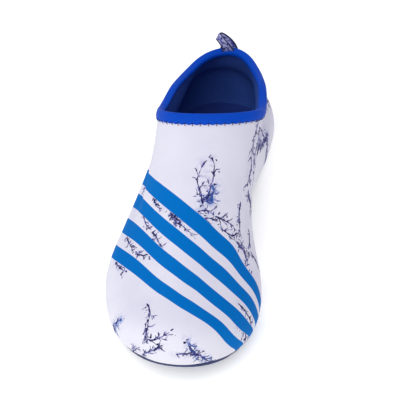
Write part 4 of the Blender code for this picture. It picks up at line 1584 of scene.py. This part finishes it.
@dataclass
class Stage:
    """Pale floor, soft studio lights and the camera at the photograph's angle."""

    floor_size: float = 6.0
    floor_colour: str = "FAFBF0"
    floor_glow: float = 0.42
    surround: str = "E2E1FA"
    surround_strength: float = 0.56
    # Place that the lights are aimed at, in metres
    lit_point: Place = (0.0, -0.08, 0.03)
    # The photograph's angle, and its distance in metres
    camera_turn: float = math.radians(8.87)
    camera_rise: float = math.radians(42.24)
    camera_roll: float = math.radians(0.52)
    camera_distance: float = 1.0743
    # Lens that frames the shoe as large as in the photograph, and how much larger it is shown
    photo_focal: float = 131.45
    enlargement: float = 1.25
    sensor: float = 36.0
    # Nearest and farthest distance that is drawn, in metres
    seen: Range = (0.01, 100.0)
    # Place in the middle of the picture, in metres
    aim: Place = (0.0, -0.0846, 0.0303)

    lights: tuple[SoftLight, ...] = (
        SoftLight("key", (-0.3, -1.2, 1.5), 1.4, 17.0),
        SoftLight("left", (-1.4, -0.2, 1.0), 1.2, 3.0),
        SoftLight("back", (0.2, 1.4, 1.3), 1.2, 3.0),
    )

    def build(self) -> None:
        """Build floor, lights, world and camera."""
        self.build_floor()
        self.build_lights()
        self.build_camera()

    def build_floor(self) -> None:
        """Build the plain pale floor."""
        mesh = bpy.data.meshes.new("floor")
        half = self.floor_size / 2.0
        mesh.from_pydata([(-half, -half, 0.0), (half, -half, 0.0), (half, half, 0.0), (-half, half, 0.0)],
                         [], [(0, 1, 2, 3)])
        made, _, shader = start_material("lit_white_acrylic_floor")
        shader.inputs["Base Color"].default_value = linear(self.floor_colour)
        shader.inputs["Roughness"].default_value = 0.8
        # White acrylic lit from below, as under products that are cut out on white
        shader.inputs["Emission Color"].default_value = linear("FFFFFF")
        shader.inputs["Emission Strength"].default_value = self.floor_glow
        mesh.materials.append(made)
        floor = bpy.data.objects.new("floor", mesh)
        bpy.context.scene.collection.objects.link(floor)

    def build_lights(self) -> None:
        """Build a broad key from the front, weak lights from the left and the back, and a pale surround."""
        world = bpy.data.worlds.new("studio")
        world.use_nodes = True
        background = world.node_tree.nodes["Background"]
        background.inputs["Color"].default_value = linear(self.surround)
        background.inputs["Strength"].default_value = self.surround_strength
        bpy.context.scene.world = world
        for light in self.lights:
            lamp = bpy.data.lights.new(light.name, "AREA")
            lamp.shape = "DISK"
            lamp.size = light.size
            lamp.energy = light.power
            held = bpy.data.objects.new(light.name, lamp)
            held.location = light.place
            held.rotation_mode = "QUATERNION"
            ray = Vector(self.lit_point) - Vector(light.place)
            held.rotation_quaternion = ray.to_track_quat("-Z", "Y")
            bpy.context.scene.collection.objects.link(held)

    def build_camera(self) -> None:
        """Build the camera at the photograph's angle, with the shoe in the middle of the picture."""
        turn, rise = self.camera_turn, self.camera_rise
        back = Vector((math.sin(turn) * math.cos(rise), -math.cos(turn) * math.cos(rise), math.sin(rise)))
        right = Vector((math.cos(turn), math.sin(turn), 0.0))
        up = back.cross(right)
        rolled_right = right * math.cos(self.camera_roll) + up * math.sin(self.camera_roll)
        rolled_up = back.cross(rolled_right)
        place = Vector(self.aim) + back * self.camera_distance
        lens = bpy.data.cameras.new("camera")
        lens.lens = self.photo_focal * self.enlargement
        lens.sensor_width = self.sensor
        lens.clip_start, lens.clip_end = self.seen
        camera = bpy.data.objects.new("camera", lens)
        rows = (rolled_right, rolled_up, back)
        turned = Matrix([[rows[column][row] for column in range(3)] for row in range(3)]).to_4x4()
        camera.matrix_world = Matrix.Translation(place) @ turned
        bpy.context.scene.collection.objects.link(camera)
        bpy.context.scene.camera = camera


def dress_packed_nodes() -> None:
    """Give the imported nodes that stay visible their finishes."""
    finishes = {"outsole": MouldedRubber().make(), "insole": SOCK_LINER.make()}
    for name, finish in finishes.items():
        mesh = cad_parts[name].data
        if len(mesh.materials) == 0:
            mesh.materials.append(finish)
        for place in range(len(mesh.materials)):
            mesh.materials[place] = finish
        LOG.info("%s: dressed with %s", name, finish.name)


def main() -> None:
    """Build and dress the shoe, then the stage."""
    logging.basicConfig(level=logging.INFO, format="%(name)s %(message)s")
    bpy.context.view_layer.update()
    bpy.context.scene.view_settings.view_transform = "Standard"
    last = Last()
    ink_print = InkPrint(last)
    upper = Upper(last, ink_print)
    upper.build()
    _, pressed, faces = upper.outer_face()
    TwigPrint(ink_print).build(pressed.reshape(-1, 3), faces)
    tape = CollarTape(last)
    tape.build_tape()
    tape.build_stitches()
    PullLoop(last).build()
    dress_packed_nodes()
    Stage().build()
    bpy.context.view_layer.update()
    LOG.info("boxes written")


if __name__ == "__main__":
    main()
